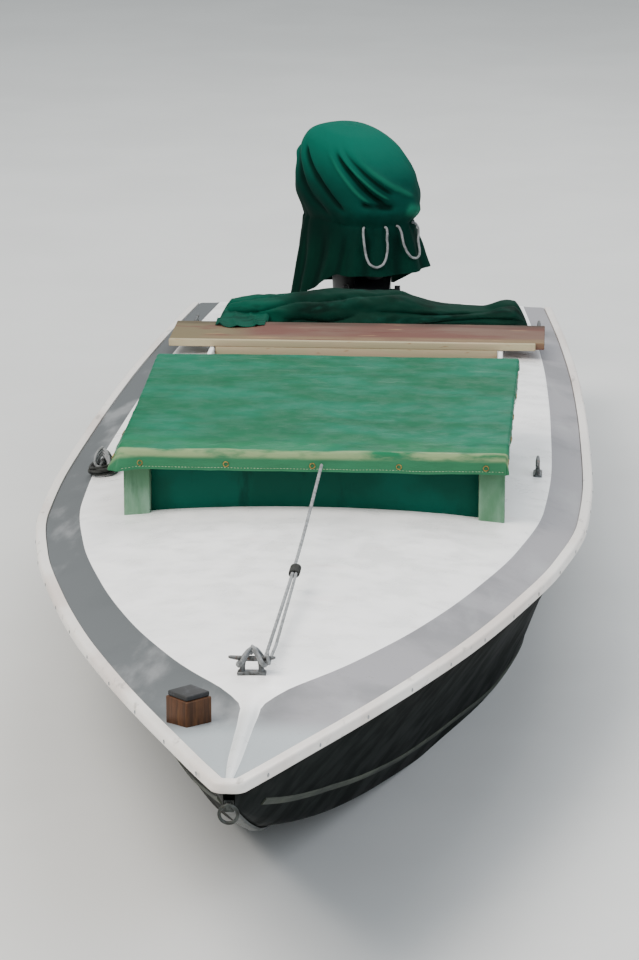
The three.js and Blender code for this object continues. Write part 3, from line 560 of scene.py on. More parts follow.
# The sloping waterway of the deck: the same gelcoat, scuffed and flecked; its grey is painted shade, darkest
# on the starboard side, with painted light near the nose.
waterwayPaintedShade = surface("waterwayGelcoatPaintedShade", {
    "colour": "#54585a", "rough": 0.55, "ior": 1.5, "gloss": 0.25,
    "tones": [
        # painted shade: darker to starboard, lighter to port
        {"colour": "#8d8c90", "kind": "height", "axis": "X", "between": (-60, 160), "amount": 1.0},
        {"colour": "#4b4f51", "size": 300, "cut": (0.46, 0.66), "amount": 0.35},
        {"colour": "#9fa1a3", "size": 130, "stretch": (1, 0.35, 1), "cut": (0.52, 0.74), "amount": 0.45},
        # painted light: lighter and bluish near the nose
        {"colour": "#a9b2b6", "kind": "height", "axis": "Y", "between": (-2400, -2600), "amount": 0.75},
        {"colour": "#63665f", "size": 9, "cut": (0.62, 0.74), "amount": 0.4},
    ],
    "bumps": [{"size": 4, "high": 0.15, "detail": 3}],
})
# Dark bottle-green topcoat, brushed on GRP: deep and glossy with dull scuffs along the side.
hullPaint = surface("darkGreenHullPaintBrushed", {
    "colour": "#020503", "rough": 0.5, "ior": 1.5, "gloss": 0.02,
    "tones": [
        {"colour": "#050b09", "size": 520, "stretch": (1, 0.4, 1.6), "cut": (0.4, 0.65), "amount": 0.9},
        {"colour": "#0c1613", "size": 60, "stretch": (1, 0.12, 1), "cut": (0.62, 0.76), "amount": 0.45},
        {"colour": "#232f27", "kind": "height", "between": (34, 4), "amount": 0.55,
         "within": {"size": 34, "cut": (0.42, 0.6)}},
        {"colour": "#3f4638", "kind": "height", "between": (-60, -150), "amount": 0.75,
         "within": {"size": 90, "cut": (0.3, 0.6)}},
    ],
    "roughBy": {"size": 120, "between": (0.48, 0.62), "cut": (0.35, 0.68)},
    "bumps": [{"size": 300, "high": 2.2, "detail": 2, "strength": 0.25},
              {"size": 14, "stretch": (1, 0.15, 1), "high": 0.08, "strength": 0.4}],
})
# Grey-green PVC strip along the chine, extruded: dull, faded where it rubs; its colour, lighter than the
# hull, is a painted highlight along the chine.
chineHighlightVinyl = surface("greyGreenChineStripPaintedHighlight", {
    "colour": "#2c312a", "rough": 0.62, "ior": 1.5, "gloss": 0.2,
    "tones": [{"colour": "#454a3f", "size": 130, "stretch": (1, 0.3, 1), "cut": (0.45, 0.65), "amount": 0.7},
              {"colour": "#171b17", "size": 40, "cut": (0.55, 0.7), "amount": 0.6}],
    "bumps": [{"size": 8, "high": 0.2}],
})
# Grey flowcoat inside the hull: matt, brushed over the laminate, with dirt low down.
innerFlowcoat = surface("greyFlowcoatBrushed", {
    "colour": "#8d9290", "rough": 0.62, "ior": 1.5,
    "tones": [
        {"colour": "#6c706b", "size": 200, "cut": (0.4, 0.65), "amount": 0.8},
        {"colour": "#4c4d45", "kind": "height", "between": (80, -70), "amount": 0.85,
         "within": {"size": 60, "cut": (0.25, 0.6)}},
    ],
    "bumps": [{"size": 12, "high": 0.9, "detail": 4}],
})
# White rubbing strake, extruded PVC: satin, yellowed and pinkish where it has weathered, with black scuffs.
strakeVinyl = surface("whiteStrakeVinylExtruded", {
    "colour": "#e6e2dc", "rough": 0.4, "ior": 1.5,
    "tones": [
        {"colour": "#cdbfb6", "size": 300, "stretch": (1, 0.4, 1), "cut": (0.42, 0.62), "amount": 0.7},
        {"colour": "#8f8a83", "size": 26, "stretch": (1, 0.25, 1), "cut": (0.6, 0.72), "amount": 0.55},
        {"colour": "#43423e", "size": 16, "stretch": (1, 0.3, 1), "cut": (0.7, 0.76), "amount": 0.6},
    ],
    "bumps": [{"size": 10, "high": 0.25}],
})
# Green PVC-coated polyester, welded: waxy, sun-bleached on top, creased from folding.
coverCloth = surface("greenCoatedPolyesterCover", {
    "colour": "#005638", "rough": 0.62, "ior": 1.48, "gloss": 0.07, "space": "UV",
    "tones": [
        {"colour": "#00664d", "size": 240, "stretch": (0.7, 1.5, 1), "cut": (0.4, 0.62), "amount": 0.85},
        {"colour": "#1b6a44", "kind": "height", "axis": "Y", "between": (-330, -540), "amount": 0.7,
         "within": {"size": 120, "stretch": (0.5, 1.2, 1), "cut": (0.3, 0.6)}},
        {"colour": "#00442c", "size": 80, "stretch": (0.4, 1.4, 1), "cut": (0.54, 0.72), "amount": 0.5},
        {"colour": "#5c8a70", "size": 55, "stretch": (0.3, 2.0, 1), "cut": (0.6, 0.74), "amount": 0.45,
         "within": {"kind": "height", "axis": "Y", "between": (80, 420)}},
        {"colour": "#35694b", "kind": "height", "axis": "Y", "between": (-572, -588), "amount": 0.75},
        {"colour": "#86986e", "kind": "height", "axis": "Y", "between": (-554, -568), "amount": 0.85,
         "within": {"kind": "height", "axis": "Y", "between": (-600, -586),
                    "within": {"size": 44, "stretch": (0.3, 1, 1), "cut": (0.38, 0.58)}}},
    ],
    "roughBy": {"size": 70, "between": (0.38, 0.62), "cut": (0.35, 0.65)},
    "bumps": [*weave(4, 0.16, 0.3),
              {"size": 40, "stretch": (0.5, 1.6, 1), "high": 1.6, "detail": 3, "cut": (0.3, 0.7)}],
})
# Teal acrylic canvas, woven: matt with a slight sheen; painted light on the crown, painted shade low down and
# on the lower left, painted shade in the folds and painted highlight on their ridges.
bagCanvasPaintedLightAndShade = surface("tealAcrylicCanvasPaintedLightAndShade", {
    "colour": "#003a31", "rough": 0.75, "gloss": 0.05, "space": "UV",
    "tones": [
        {"colour": "#00241d", "size": 260, "stretch": (1.2, 0.7, 1), "cut": (0.42, 0.64), "amount": 0.6},
        # painted light: the crown lighter, as lit from above
        {"colour": "#005c4c", "kind": "height", "space": "Object", "between": (800, 990), "amount": 0.85},
        # painted shade: darker low down, and darker still on the lower left
        {"colour": "#001a13", "kind": "height", "space": "Object", "between": (760, 660), "amount": 0.7},
        {"colour": "#00130d", "kind": "height", "space": "Object", "between": (880, 740), "amount": 0.7,
         "within": {"kind": "height", "axis": "X", "space": "Object", "between": (-30, -190)}},
        {"colour": "#002a1f", "kind": "height", "space": "Object", "between": (660, 560), "amount": 0.5,
         "within": {"size": 60, "stretch": (1.6, 0.3, 1), "cut": (0.3, 0.6)}},
        # painted shade in the folds, painted highlight on the fold ridges
        {"colour": "#00110d", "kind": "layer", "name": "fold", "between": (0.15, 0.95), "amount": 0.85},
        {"colour": "#1b6e55", "kind": "layer", "name": "fold", "between": (-0.15, -0.9), "amount": 0.55},
    ],
    "bumps": [*weave(2.4, 0.18, 0.4),
              {"size": 24, "high": 0.8, "detail": 3, "cut": (0.3, 0.7)}],
})
# Dark teal tarpaulin, woven: matt, nearly black in streaks, brighter on the loose end.
sternCanvas = surface("tealTarpaulinWoven", {
    "colour": "#0a2c22", "rough": 0.66, "gloss": 0.05, "space": "UV",
    "tones": [
        {"colour": "#031711", "size": 110, "stretch": (0.5, 1.4, 1), "cut": (0.44, 0.62), "amount": 0.8},
        {"colour": "#12453a", "size": 70, "stretch": (0.5, 1.4, 1), "cut": (0.55, 0.7), "amount": 0.5},
        {"colour": "#004838", "kind": "height", "axis": "X", "space": "Object", "between": (-200, -360),
         "amount": 0.9},
        {"colour": "#002a20", "size": 60, "stretch": (0.5, 1.4, 1), "cut": (0.46, 0.62), "amount": 0.6},
    ],
    "bumps": [*weave(2.6, 0.16, 0.35),
              {"size": 30, "high": 1.0, "detail": 3, "cut": (0.3, 0.7)}],
})
# Dark green paint on plywood, rolled: eggshell, chipped to grey wood along the edges.
panelPaint = surface("darkGreenPaintOnPlywood", {
    "colour": "#004638", "rough": 0.46, "ior": 1.5, "gloss": 0.08,
    "tones": [
        {"colour": "#005647", "size": 240, "cut": (0.42, 0.62), "amount": 0.7},
        {"colour": "#003027", "size": 60, "stretch": (1, 1, 0.25), "cut": (0.56, 0.7), "amount": 0.6},
        {"colour": "#8c8a72", "kind": "edge", "size": 3, "amount": 0.8, "break": 16},
    ],
    "bumps": [{"size": 3, "high": 0.12}, {"size": 60, "high": 0.6}],
})
# Pale green paint on softwood posts, brushed, paler towards the bottom.
postPaint = surface("paleGreenPaintOnPosts", {
    "colour": "#4b7657", "rough": 0.6, "ior": 1.5, "gloss": 0.2,
    "tones": [
        {"colour": "#7b9c86", "kind": "height", "between": (690, 610), "amount": 0.85,
         "within": {"size": 70, "stretch": (1, 1, 0.3), "cut": (0.3, 0.6)}},
        {"colour": "#355f43", "size": 30, "stretch": (1, 1, 0.2), "cut": (0.55, 0.7), "amount": 0.6},
        {"colour": "#a89c7c", "kind": "edge", "size": 3, "amount": 0.8, "break": 14},
    ],
    "bumps": [{"size": 14, "stretch": (1, 1, 0.1), "high": 0.4}],
})
# Birch plywood, sawn: warm, with long grain.
plywood = surface("birchPlywoodSawn", {
    "colour": "#86704f", "rough": 0.7, "ior": 1.5,
    "tones": [
        {"colour": "#6c5739", "size": 22, "stretch": (1, 0.06, 1), "cut": (0.4, 0.62), "amount": 0.7},
        {"colour": "#a38a64", "size": 9, "stretch": (1, 0.05, 1), "cut": (0.55, 0.7), "amount": 0.5},
    ],
    "bumps": [{"size": 5, "stretch": (1, 0.05, 1), "high": 0.3}],
})
# Iroko floor boards, sawn and gone silver grey, dark in the grain.
floorWood = surface("irokoBoardsWeathered", {
    "colour": "#8a8272", "rough": 0.78, "ior": 1.5,
    "tones": [
        {"colour": "#6a6254", "size": 16, "stretch": (1, 0.05, 1), "cut": (0.42, 0.6), "amount": 0.8,
         "twist": 0.6},
        {"colour": "#a59c8a", "size": 7, "stretch": (1, 0.04, 1), "cut": (0.55, 0.68), "amount": 0.6},
        {"colour": "#4c463b", "size": 130, "cut": (0.55, 0.72), "amount": 0.6},
        {"colour": "#b8ad96", "kind": "edge", "size": 3, "amount": 0.6, "break": 30},
    ],
    "bumps": [{"size": 6, "stretch": (1, 0.04, 1), "high": 0.5}],
})
# Faded red paint on a softwood bench, brushed: chalky, worn to wood and to an older beige coat.
benchPaint = surface("fadedRedPaintOnBench", {
    "colour": "#66463e", "rough": 0.68, "ior": 1.5, "gloss": 0.1,
    "tones": [
        {"colour": "#6f5a4f", "size": 120, "stretch": (0.3, 1, 1), "cut": (0.42, 0.62), "amount": 0.8},
        {"colour": "#5a3430", "size": 40, "stretch": (0.15, 1, 1), "cut": (0.56, 0.7), "amount": 0.6},
        {"colour": "#7c6b52", "kind": "height", "axis": "Y", "between": (2010, 1960), "amount": 0.85,
         "within": {"size": 50, "stretch": (0.15, 1, 1), "cut": (0.34, 0.52)}},
        {"colour": "#6f664e", "kind": "height", "axis": "X", "between": (-330, -470), "amount": 0.95,
         "within": {"size": 60, "stretch": (0.3, 1, 1), "cut": (0.3, 0.45)}},
        {"colour": "#96795a", "size": 26, "stretch": (0.12, 1, 1), "cut": (0.62, 0.7), "amount": 0.9},
        # darker along the back edge
        {"colour": "#3a342c", "kind": "height", "axis": "Y", "between": (2120, 2190), "amount": 0.75,
         "within": {"size": 60, "stretch": (0.2, 1, 1), "cut": (0.3, 0.6)}},
        {"colour": "#96795a", "kind": "edge", "size": 4, "amount": 0.9, "break": 26},
    ],
    "bumps": [{"size": 9, "stretch": (0.06, 1, 1), "high": 0.5}],
})
# Cream paint on the bench's front board, brushed, with bare wood where it has flaked.
creamPaint = surface("creamPaintOnApron", {
    "colour": "#a39a7c", "rough": 0.62, "ior": 1.5, "gloss": 0.15,
    "tones": [
        {"colour": "#ad9a80", "size": 60, "stretch": (0.2, 1, 1), "cut": (0.45, 0.65), "amount": 0.8},
        {"colour": "#8d6f50", "size": 14, "stretch": (0.2, 1, 1), "cut": (0.64, 0.72), "amount": 0.8},
        {"colour": "#9c7d5a", "kind": "edge", "size": 3, "amount": 0.8, "break": 18},
    ],
    "bumps": [{"size": 8, "stretch": (0.06, 1, 1), "high": 0.4}],
})
# Oak block, sawn and oiled: brown end grain and dark checks.
oakBlock = surface("oakBlockOiled", {
    "colour": "#4c2e19", "rough": 0.6, "ior": 1.5, "gloss": 0.3,
    "tones": [
        {"colour": "#35200f", "size": 9, "stretch": (1, 1, 0.08), "cut": (0.42, 0.6), "amount": 0.8},
        {"colour": "#654224", "size": 24, "stretch": (1, 1, 0.2), "cut": (0.5, 0.68), "amount": 0.6},
        {"colour": "#86623d", "kind": "edge", "size": 3, "amount": 0.6, "break": 10},
    ],
    "bumps": [{"size": 5, "stretch": (1, 1, 0.06), "high": 0.5}],
})
# Black rubber, moulded: matt with grey scuffs.
blackRubber = surface("blackRubberMoulded", {
    "colour": "#1b1c1d", "rough": 0.72, "ior": 1.5,
    "tones": [{"colour": "#34363a", "size": 18, "cut": (0.5, 0.7), "amount": 0.7},
              {"colour": "#4b4d50", "kind": "edge", "size": 3, "amount": 0.7, "break": 8}],
    "bumps": [{"size": 1.5, "high": 0.1}],
})
# Stainless steel, rolled and brushed along its length, with tea stains.
stainless = surface("stainlessSteelBrushed", {
    "colour": "#a3a7aa", "metal": 1.0, "rough": 0.34,
    "tones": [{"colour": "#8a8478", "size": 30, "cut": (0.5, 0.7), "amount": 0.6}],
    "roughBy": {"size": 20, "stretch": (1, 0.05, 1), "between": (0.25, 0.48), "cut": (0.3, 0.7)},
    "bumps": [{"size": 2, "stretch": (1, 0.04, 1), "high": 0.04}],
})
# Steel of the stem band and its ring, left in salt air: gone dull, darkened as painted shade, with brown
# stains.
tarnishedSteelPaintedShade = surface("steelBarTarnishedPaintedShade", {
    "colour": "#4b4f4d", "metal": 0.85, "rough": 0.52,
    "tones": [{"colour": "#2f312e", "size": 26, "cut": (0.4, 0.62), "amount": 0.8},
              {"colour": "#5b4433", "size": 12, "cut": (0.6, 0.72), "amount": 0.6}],
    "bumps": [{"size": 2, "high": 0.12}],
})
# Galvanised cast iron of the cleats: dull dark grey with brown rust at the edges.
castIron = surface("galvanisedCastIron", {
    "colour": "#6c6f70", "metal": 0.85, "rough": 0.56,
    "tones": [{"colour": "#3b3835", "size": 10, "cut": (0.45, 0.65), "amount": 0.8},
              {"colour": "#6d4a32", "size": 14, "cut": (0.58, 0.7), "amount": 0.7}],
    "bumps": [{"size": 2.5, "high": 0.25}],
})
# Stoved dark-grey enamel on cast aluminium: satin, with salt bloom and bare metal at the edges.
motorEnamel = surface("darkGreyEnamelOnCastAluminium", {
    "colour": "#101214", "rough": 0.4, "ior": 1.5, "gloss": 0.35,
    "tones": [{"colour": "#1b1e20", "size": 70, "cut": (0.42, 0.64), "amount": 0.8},
              {"colour": "#6a6f70", "size": 9, "cut": (0.68, 0.76), "amount": 0.4},
              {"colour": "#9a9d9e", "kind": "edge", "size": 2.5, "amount": 0.7, "break": 9}],
    "bumps": [{"size": 1.8, "high": 0.08}],
})
# Moulded plastic of the motor's tray and cowl: matt dark grey.
cowlPlastic = surface("darkGreyCowlMoulded", {
    "colour": "#33373a", "rough": 0.5, "ior": 1.49,
    "tones": [{"colour": "#4b5053", "size": 60, "cut": (0.5, 0.7), "amount": 0.6},
              {"colour": "#7f8486", "kind": "edge", "size": 2.5, "amount": 0.5, "break": 12}],
    "bumps": [{"size": 1.6, "high": 0.08}],
})
# Brass eyelets, pressed: yellow metal gone dull.
brassRing = surface("brassEyeletPressed", {
    "colour": "#a98a4e", "metal": 1.0, "rough": 0.42,
    "tones": [{"colour": "#5f5238", "size": 6, "cut": (0.4, 0.65), "amount": 0.8}],
    "bumps": [{"size": 1.2, "high": 0.05}],
})
# Waxed thread of the hems, twisted: pale and matt.
threadCream = surface("creamWaxedThread", {
    "colour": "#93ab86", "rough": 0.8,
    "tones": [{"colour": "#5f7d5c", "size": 8, "cut": (0.42, 0.62), "amount": 0.8}],
    "bumps": [{"size": 0.8, "high": 0.1}],
})
# Grey polyester rope, laid in three strands: matt and furry, dirt between the strands.
greyRope = surface("greyPolyesterRopeLaid", {
    "colour": "#85888a", "rough": 0.86, "sheen": 0.1,
    "tones": [{"colour": "#5f6263", "size": 26, "cut": (0.42, 0.62), "amount": 0.8},
              {"colour": "#b1b3b1", "size": 5, "cut": (0.56, 0.7), "amount": 0.6}],
    "bumps": [{"size": 1.6, "high": 0.3}],
})
# Old tarred line, laid: nearly black, dull, with dust on the strands.
darkLine = surface("darkTarredLineLaid", {
    "colour": "#2a2c2a", "rough": 0.85,
    "tones": [{"colour": "#121311", "size": 20, "cut": (0.42, 0.62), "amount": 0.8},
              {"colour": "#5a5b56", "size": 5, "cut": (0.58, 0.72), "amount": 0.5}],
    "bumps": [{"size": 1.6, "high": 0.3}],
})
print("materials made")

# Camera and cords

cameraLook = {"place": (0.68, -10.335, 3.34), "aim": (-0.005, 0.1, 0.5), "focalPixels": 3700,
              "imagePixels": 960, "sensor": 36}


def standAt(name, data, place, aim):
    obj = bpy.data.objects.new(name, data)
    obj.location = place
    obj.rotation_euler = (Vector(aim) - obj.location).to_track_quat("-Z", "Y").to_euler()
    bpy.context.scene.collection.objects.link(obj)
    return obj


camera = bpy.data.cameras.new("camera")
camera.sensor_width = cameraLook["sensor"]
camera.lens = cameraLook["focalPixels"] / cameraLook["imagePixels"] * cameraLook["sensor"]
bpy.context.scene.camera = standAt("camera", camera, cameraLook["place"], cameraLook["aim"])

motor = {"steerY": 3065, "steerRest": 40, "shaftZ": -290}
headTurn = Matrix.Rotation(math.radians(motor["steerRest"]), 3, "Z")


# From the motor head's own frame to the boat's, in mm.
def fromHead(p):
    return headTurn @ Vector(p) + Vector((0, motor["steerY"], 0))


bagCords = {
    "radius": 4.5, "steps": 110,
    "fore": [
        (-116.6, -96.8, 690), (-121.9, -101.9, 690), (-128, -107.8, 686), (-133.5, -114.6, 674),
        (-134.8, -118.8, 656), (-134.1, -125.2, 619.3), (-135.3, -138.8, 586.6), (-129.7, -153.4, 563.5),
        (-111.5, -168.4, 554), (-88.5, -175.4, 563.5), (-72.3, -173, 586.6), (-60.9, -166.3, 619.3),
        (-59.5, -160.5, 656), (-56.3, -158.3, 674), (-53.1, -150.9, 686), (-51, -142.9, 690),
        (-49.2, -135.7, 690),
    ],
    "port": [
        (0, -140.6, 690), (0, -148, 690), (0, -156.3, 686), (2, -164, 674),
        (5.2, -166.7, 656), (8.8, -171.5, 627.6), (18.6, -179.1, 598.8), (34.2, -184.1, 578.4),
        (58.8, -182.4, 570), (80.4, -173.1, 578.4), (89.7, -161.9, 598.8), (92.4, -150.7, 627.6),
        (98, -145.8, 656), (97.6, -142.1, 674), (94.1, -134.6, 686), (89.8, -127.3, 690),
        (86.1, -120.9, 690),
    ],
}
for end in ("fore", "port"):
    route = smoothPath([fromHead(p) for p in bagCords[end]], bagCords["steps"])
    cordPiece = laidRope("bagCord" + end.capitalize(), route, bagCords["radius"], greyRope)
    place(cordPiece, "head", "rope_grey", "bag_cord_" + end, angle=60)
print("camera and cords made")

# Hull

hullRows = [
    {"y": -2925, "sheerX": 14, "sheerZ": 645, "chineX": 12, "chineZ": 600, "keelZ": 592},
    {"y": -2800, "sheerX": 66, "sheerZ": 638, "chineX": 16, "chineZ": 545, "keelZ": 535},
    {"y": -2620, "sheerX": 135, "sheerZ": 626, "chineX": 22, "chineZ": 462, "keelZ": 452},
    {"y": -2440, "sheerX": 203, "sheerZ": 613, "chineX": 34, "chineZ": 385, "keelZ": 374},
    {"y": -2250, "sheerX": 274, "sheerZ": 601, "chineX": 52, "chineZ": 310, "keelZ": 297},
    {"y": -2000, "sheerX": 362, "sheerZ": 585, "chineX": 92, "chineZ": 226, "keelZ": 211},
    {"y": -1650, "sheerX": 474, "sheerZ": 562, "chineX": 158, "chineZ": 130, "keelZ": 114},
    {"y": -1250, "sheerX": 582, "sheerZ": 538, "chineX": 242, "chineZ": 46, "keelZ": 30},
    {"y": -800, "sheerX": 682, "sheerZ": 511, "chineX": 350, "chineZ": -22, "keelZ": -38},
    {"y": -300, "sheerX": 749, "sheerZ": 484, "chineX": 482, "chineZ": -72, "keelZ": -88},
    {"y": 250, "sheerX": 766, "sheerZ": 460, "chineX": 568, "chineZ": -100, "keelZ": -118},
    {"y": 900, "sheerX": 758, "sheerZ": 437, "chineX": 600, "chineZ": -112, "keelZ": -130},
    {"y": 1600, "sheerX": 736, "sheerZ": 415, "chineX": 590, "chineZ": -108, "keelZ": -126},
    {"y": 2300, "sheerX": 692, "sheerZ": 397, "chineX": 558, "chineZ": -92, "keelZ": -108},
    {"y": 2925, "sheerX": 634, "sheerZ": 386, "chineX": 516, "chineZ": -72, "keelZ": -86},
]
sheerX, sheerZ, chineX, chineZ, keelZ = smoothTables(
    hullRows, ("sheerX", "sheerZ", "chineX", "chineZ", "keelZ"))
hull = {
    "bowY": -2925, "sternY": 2925, "rake": math.tan(math.radians(10)), "transomTop": 386,
    "chineRound": 16, "sideCuts": 6, "wall": 20, "floor": 25, "innerRound": 30, "stations": 110,
    "cockpitFore": -445, "cockpitAft": 2360, "cockpitHalf": 500, "cockpitOver": 60,
    "wellFore": 2640, "wellHalf": 330, "wellFloor": 150, "wellTop": 600, "transomThick": 42,
}


# Distance aft of the sheer's end at height z on the raked transom.
def rakeAt(y, z):
    return (hull["transomTop"] - z) * hull["rake"] if y >= hull["sternY"] - 1 else 0


def hullSection(y):
    half = roundedLine([(0, keelZ(y)), (chineX(y), chineZ(y)), (sheerX(y), sheerZ(y))], hull["chineRound"])
    side = [half[0]]
    for i, (a, b) in enumerate(zip(half, half[1:])):
        cuts = hull["sideCuts"] if i in (0, len(half) - 2) else 1
        side += [(mix(a[0], b[0], k / cuts), mix(a[1], b[1], k / cuts)) for k in range(1, cuts + 1)]
    return side


def hullRow(y):
    side = hullSection(y)
    ring = [(-x, z) for x, z in reversed(side[1:])] + side
    return [(x, y - rakeAt(y, z), z) for x, z in ring]


def cavityRow(y):
    top, low = sheerX(y) - hull["wall"], chineX(y) - hull["wall"]
    topZ, lowZ, up = sheerZ(y), chineZ(y) + hull["floor"], hull["cockpitOver"]
    over = top + (top - low) / (topZ - lowZ) * up
    line = roundedLine([(-over, topZ + up), (-low, lowZ), (low, lowZ), (over, topZ + up)], hull["innerRound"])
    return [(x, y, z) for x, z in line]


def wellAft(z):
    return hull["sternY"] - hull["transomThick"] - (hull["transomTop"] - z) * hull["rake"]


outer = tube("hullSkin", [hullRow(y) for y in evenly(hull["bowY"], hull["sternY"], hull["stations"])],
             hullPaint)
cavity = tube("cavity", [cavityRow(y) for y in evenly(hull["cockpitFore"], hull["cockpitAft"], 60)],
              innerFlowcoat)
wellSides = [(hull["wellFore"], hull["wellFloor"]), (wellAft(hull["wellFloor"]), hull["wellFloor"]),
             (wellAft(hull["wellTop"]), hull["wellTop"]), (hull["wellFore"], hull["wellTop"])]
well = prism("well", wellSides, -hull["wellHalf"], hull["wellHalf"], "x", 0, materials=[whiteGelcoat])
hullPiece = carve(outer, cavity, well)
place(hullPiece, "boat", "hull_grp", "hull_shell", angle=28)
print("hull made")

# Deck moulding: a sloping waterway inside the edge, grey as painted shade, then the crowned top

deckRows = [
    {"y": -2925, "inset": 6, "rise": 12, "crown": 14}, {"y": -2800, "inset": 52, "rise": 16, "crown": 20},
    {"y": -2620, "inset": 118, "rise": 18, "crown": 24}, {"y": -2440, "inset": 182, "rise": 20, "crown": 28},
    {"y": -2330, "inset": 214, "rise": 26, "crown": 34}, {"y": -2250, "inset": 196, "rise": 42, "crown": 52},
    {"y": -2150, "inset": 168, "rise": 46, "crown": 60}, {"y": -2000, "inset": 145, "rise": 46, "crown": 66},
    {"y": -1650, "inset": 118, "rise": 46, "crown": 74}, {"y": -1250, "inset": 104, "rise": 46, "crown": 80},
    {"y": -800, "inset": 100, "rise": 46, "crown": 84}, {"y": -300, "inset": 98, "rise": 46, "crown": 84},
    {"y": 250, "inset": 96, "rise": 44, "crown": 76}, {"y": 900, "inset": 94, "rise": 40, "crown": 66},
    {"y": 1600, "inset": 90, "rise": 34, "crown": 52}, {"y": 2300, "inset": 84, "rise": 26, "crown": 38},
    {"y": 2925, "inset": 78, "rise": 18, "crown": 28},
]
deckInset, deckRise, deckCrown = smoothTables(deckRows, ("inset", "rise", "crown"))
deck = {
    "edgeRise": 12, "lip": 0.14, "lipRise": 2, "knee": 0.16, "kneeRise": 0.84, "crownAt": 0.6,
    "crownShare": 0.64, "rows": 150, "bandFaces": range(12), "cutTop": 1500, "cutAft": 4000,
}


# Half the deck's section, from its edge over the lip, the waterway and the shoulder to the middle.
def deckLine(y):
    edge = sheerX(y) - 1
    shoulder = max(edge - deckInset(y), 5)
    base, rise, crown, band = sheerZ(y), deckRise(y), deckCrown(y), edge - shoulder
    return [
        (edge, base + fit), (edge, base + deck["edgeRise"]),
        (edge - band * deck["lip"], base + deck["edgeRise"] + deck["lipRise"]),
        (shoulder + band * deck["knee"], base + rise * deck["kneeRise"]), (shoulder, base + rise),
        (shoulder * deck["crownAt"], base + rise + (crown - rise) * deck["crownShare"]), (0, base + crown),
    ]


def deckZ(x, y):
    line = deckLine(y)
    for (xa, za), (xb, zb) in zip(line, line[1:]):
        if abs(x) >= xb and xa != xb:
            return mix(za, zb, clamp((abs(x) - xa) / (xb - xa)))
    return line[-1][1]


def deckRow(y):
    line = deckLine(y)
    half = [line[0]] + roundedLine(line[:3], 3, 3)[1:-1] + roundedLine(line[2:6], 14, 4)
    half += [(line[5][0] * t, mix(line[6][1], line[5][1], t ** 2)) for t in (0.75, 0.5, 0.25)]
    ring = half + [(0, line[6][1])] + [(-x, z) for x, z in reversed(half)]
    return [(x, y, z) for x, z in ring]


deckCount = len(deckRow(0))
deckMoulding = grid(
    "deckMoulding", [deckRow(y) for y in evenly(hull["bowY"], hull["sternY"], deck["rows"])],
    wrap=True, caps=True, materials=[whiteGelcoat, waterwayPaintedShade],
    pick=lambda i: int(i in deck["bandFaces"] or deckCount - 2 - i in deck["bandFaces"]))
carve(deckMoulding, *[
    box("hole", -half, half, fore, aft, 0, deck["cutTop"], 0, materials=[whiteGelcoat])
    for half, fore, aft in ((hull["cockpitHalf"], hull["cockpitFore"], hull["cockpitAft"]),
                            (hull["wellHalf"], hull["wellFore"], deck["cutAft"]))])
place(deckMoulding, "boat", "white_grp", "foredeck", "side_deck_port", "side_deck_starboard", "aft_deck",
      angle=32)
print("deck made")

# Rub rail: one D-shaped strake from the stern round the bow and back

rail = {"out": 28, "drop": 12, "rise": 16, "round": 10, "noseRound": 8, "noseSteps": 8, "steps": 120,
        "screws": 24, "screwUp": 2, "screwAft": 60, "screwFore": 90}
railOutline = roundedLine([(0, -rail["drop"]), (rail["out"], -rail["drop"]), (rail["out"], rail["rise"]),
                           (0, rail["rise"])], rail["round"], 5)


# The way out from the port side at the sheer.
def sheerOut(y):
    return Vector((1, (sheerX(y - 1) - sheerX(y + 1)) / 2)).normalized()


def railPath():
    path = [(sheerX(y) + fit, y, sheerZ(y), sheerOut(y))
            for y in evenly(hull["sternY"], hull["bowY"] + rail["noseRound"], rail["steps"])]
    x, y, z, out = path[-1]
    for a in evenly(math.atan2(out.y, out.x), -math.pi / 2, rail["noseSteps"] + 1)[1:]:
        step = Vector((math.cos(a) - out.x, math.sin(a) - out.y)) * rail["noseRound"]
        path.append((x + step.x, y + step.y, z, Vector((math.cos(a), math.sin(a)))))
    back = [(-px, py, pz, Vector((-o.x, o.y))) for px, py, pz, o in reversed(path)]
    return path + back


railRows = [[(x + out.x * o, y + out.y * o, z + h) for o, h in railOutline] for x, y, z, out in railPath()]
place(tube("rubRail", railRows, strakeVinyl), "boat", "rail_white",
      "rub_rail_port", "rub_rail_starboard", "bow_cap", angle=40)
railSpots = []
for _, sign in bothSides:
    for y in evenly(hull["sternY"] - rail["screwAft"], hull["bowY"] + rail["screwFore"], rail["screws"]):
        out = Vector((sign * sheerOut(y).x, sheerOut(y).y, 0))
        spot = Vector((sign * (sheerX(y) + fit), y, sheerZ(y) + rail["screwUp"])) + out * (rail["out"] + fit)
        railSpots.append((spot, out, (0, 0, 1)))
repeatOn("railScrews", railSpots, {"Head radius": 5, "Crown radius": 3.4, "Head height": 1.2}, screwHead,
         stainless, "stem_metal")
print("rail made")

# Stage: a pale floor at the waterline, open inside the hull

floor = {"size": 60000, "under": 8, "sternGap": 75, "stations": 160}


def waterlineHalf(y):
    side = hullSection(y)
    for (xa, za), (xb, zb) in zip(side, side[1:]):
        if za <= 0 <= zb:
            return mix(xa, xb, -za / (zb - za)) if zb != za else xb
    return None


# The floor's inner edge lies just under the hull's skin, so that no water line shows inside.
def floorRows():
    ys = [y for y in evenly(hull["bowY"], hull["sternY"] - floor["sternGap"], floor["stations"])
          if waterlineHalf(y)]
    edge = [(waterlineHalf(y) - floor["under"], y) for y in ys]
    inner = edge + [(-x, y) for x, y in reversed(edge)]
    middle = sum(ys) / len(ys)
    angles = [math.atan2(y - middle, x) for x, y in inner]
    return [[(x, y, 0) for x, y in inner],
            [(math.cos(a) * floor["size"], math.sin(a) * floor["size"], 0) for a in angles]]


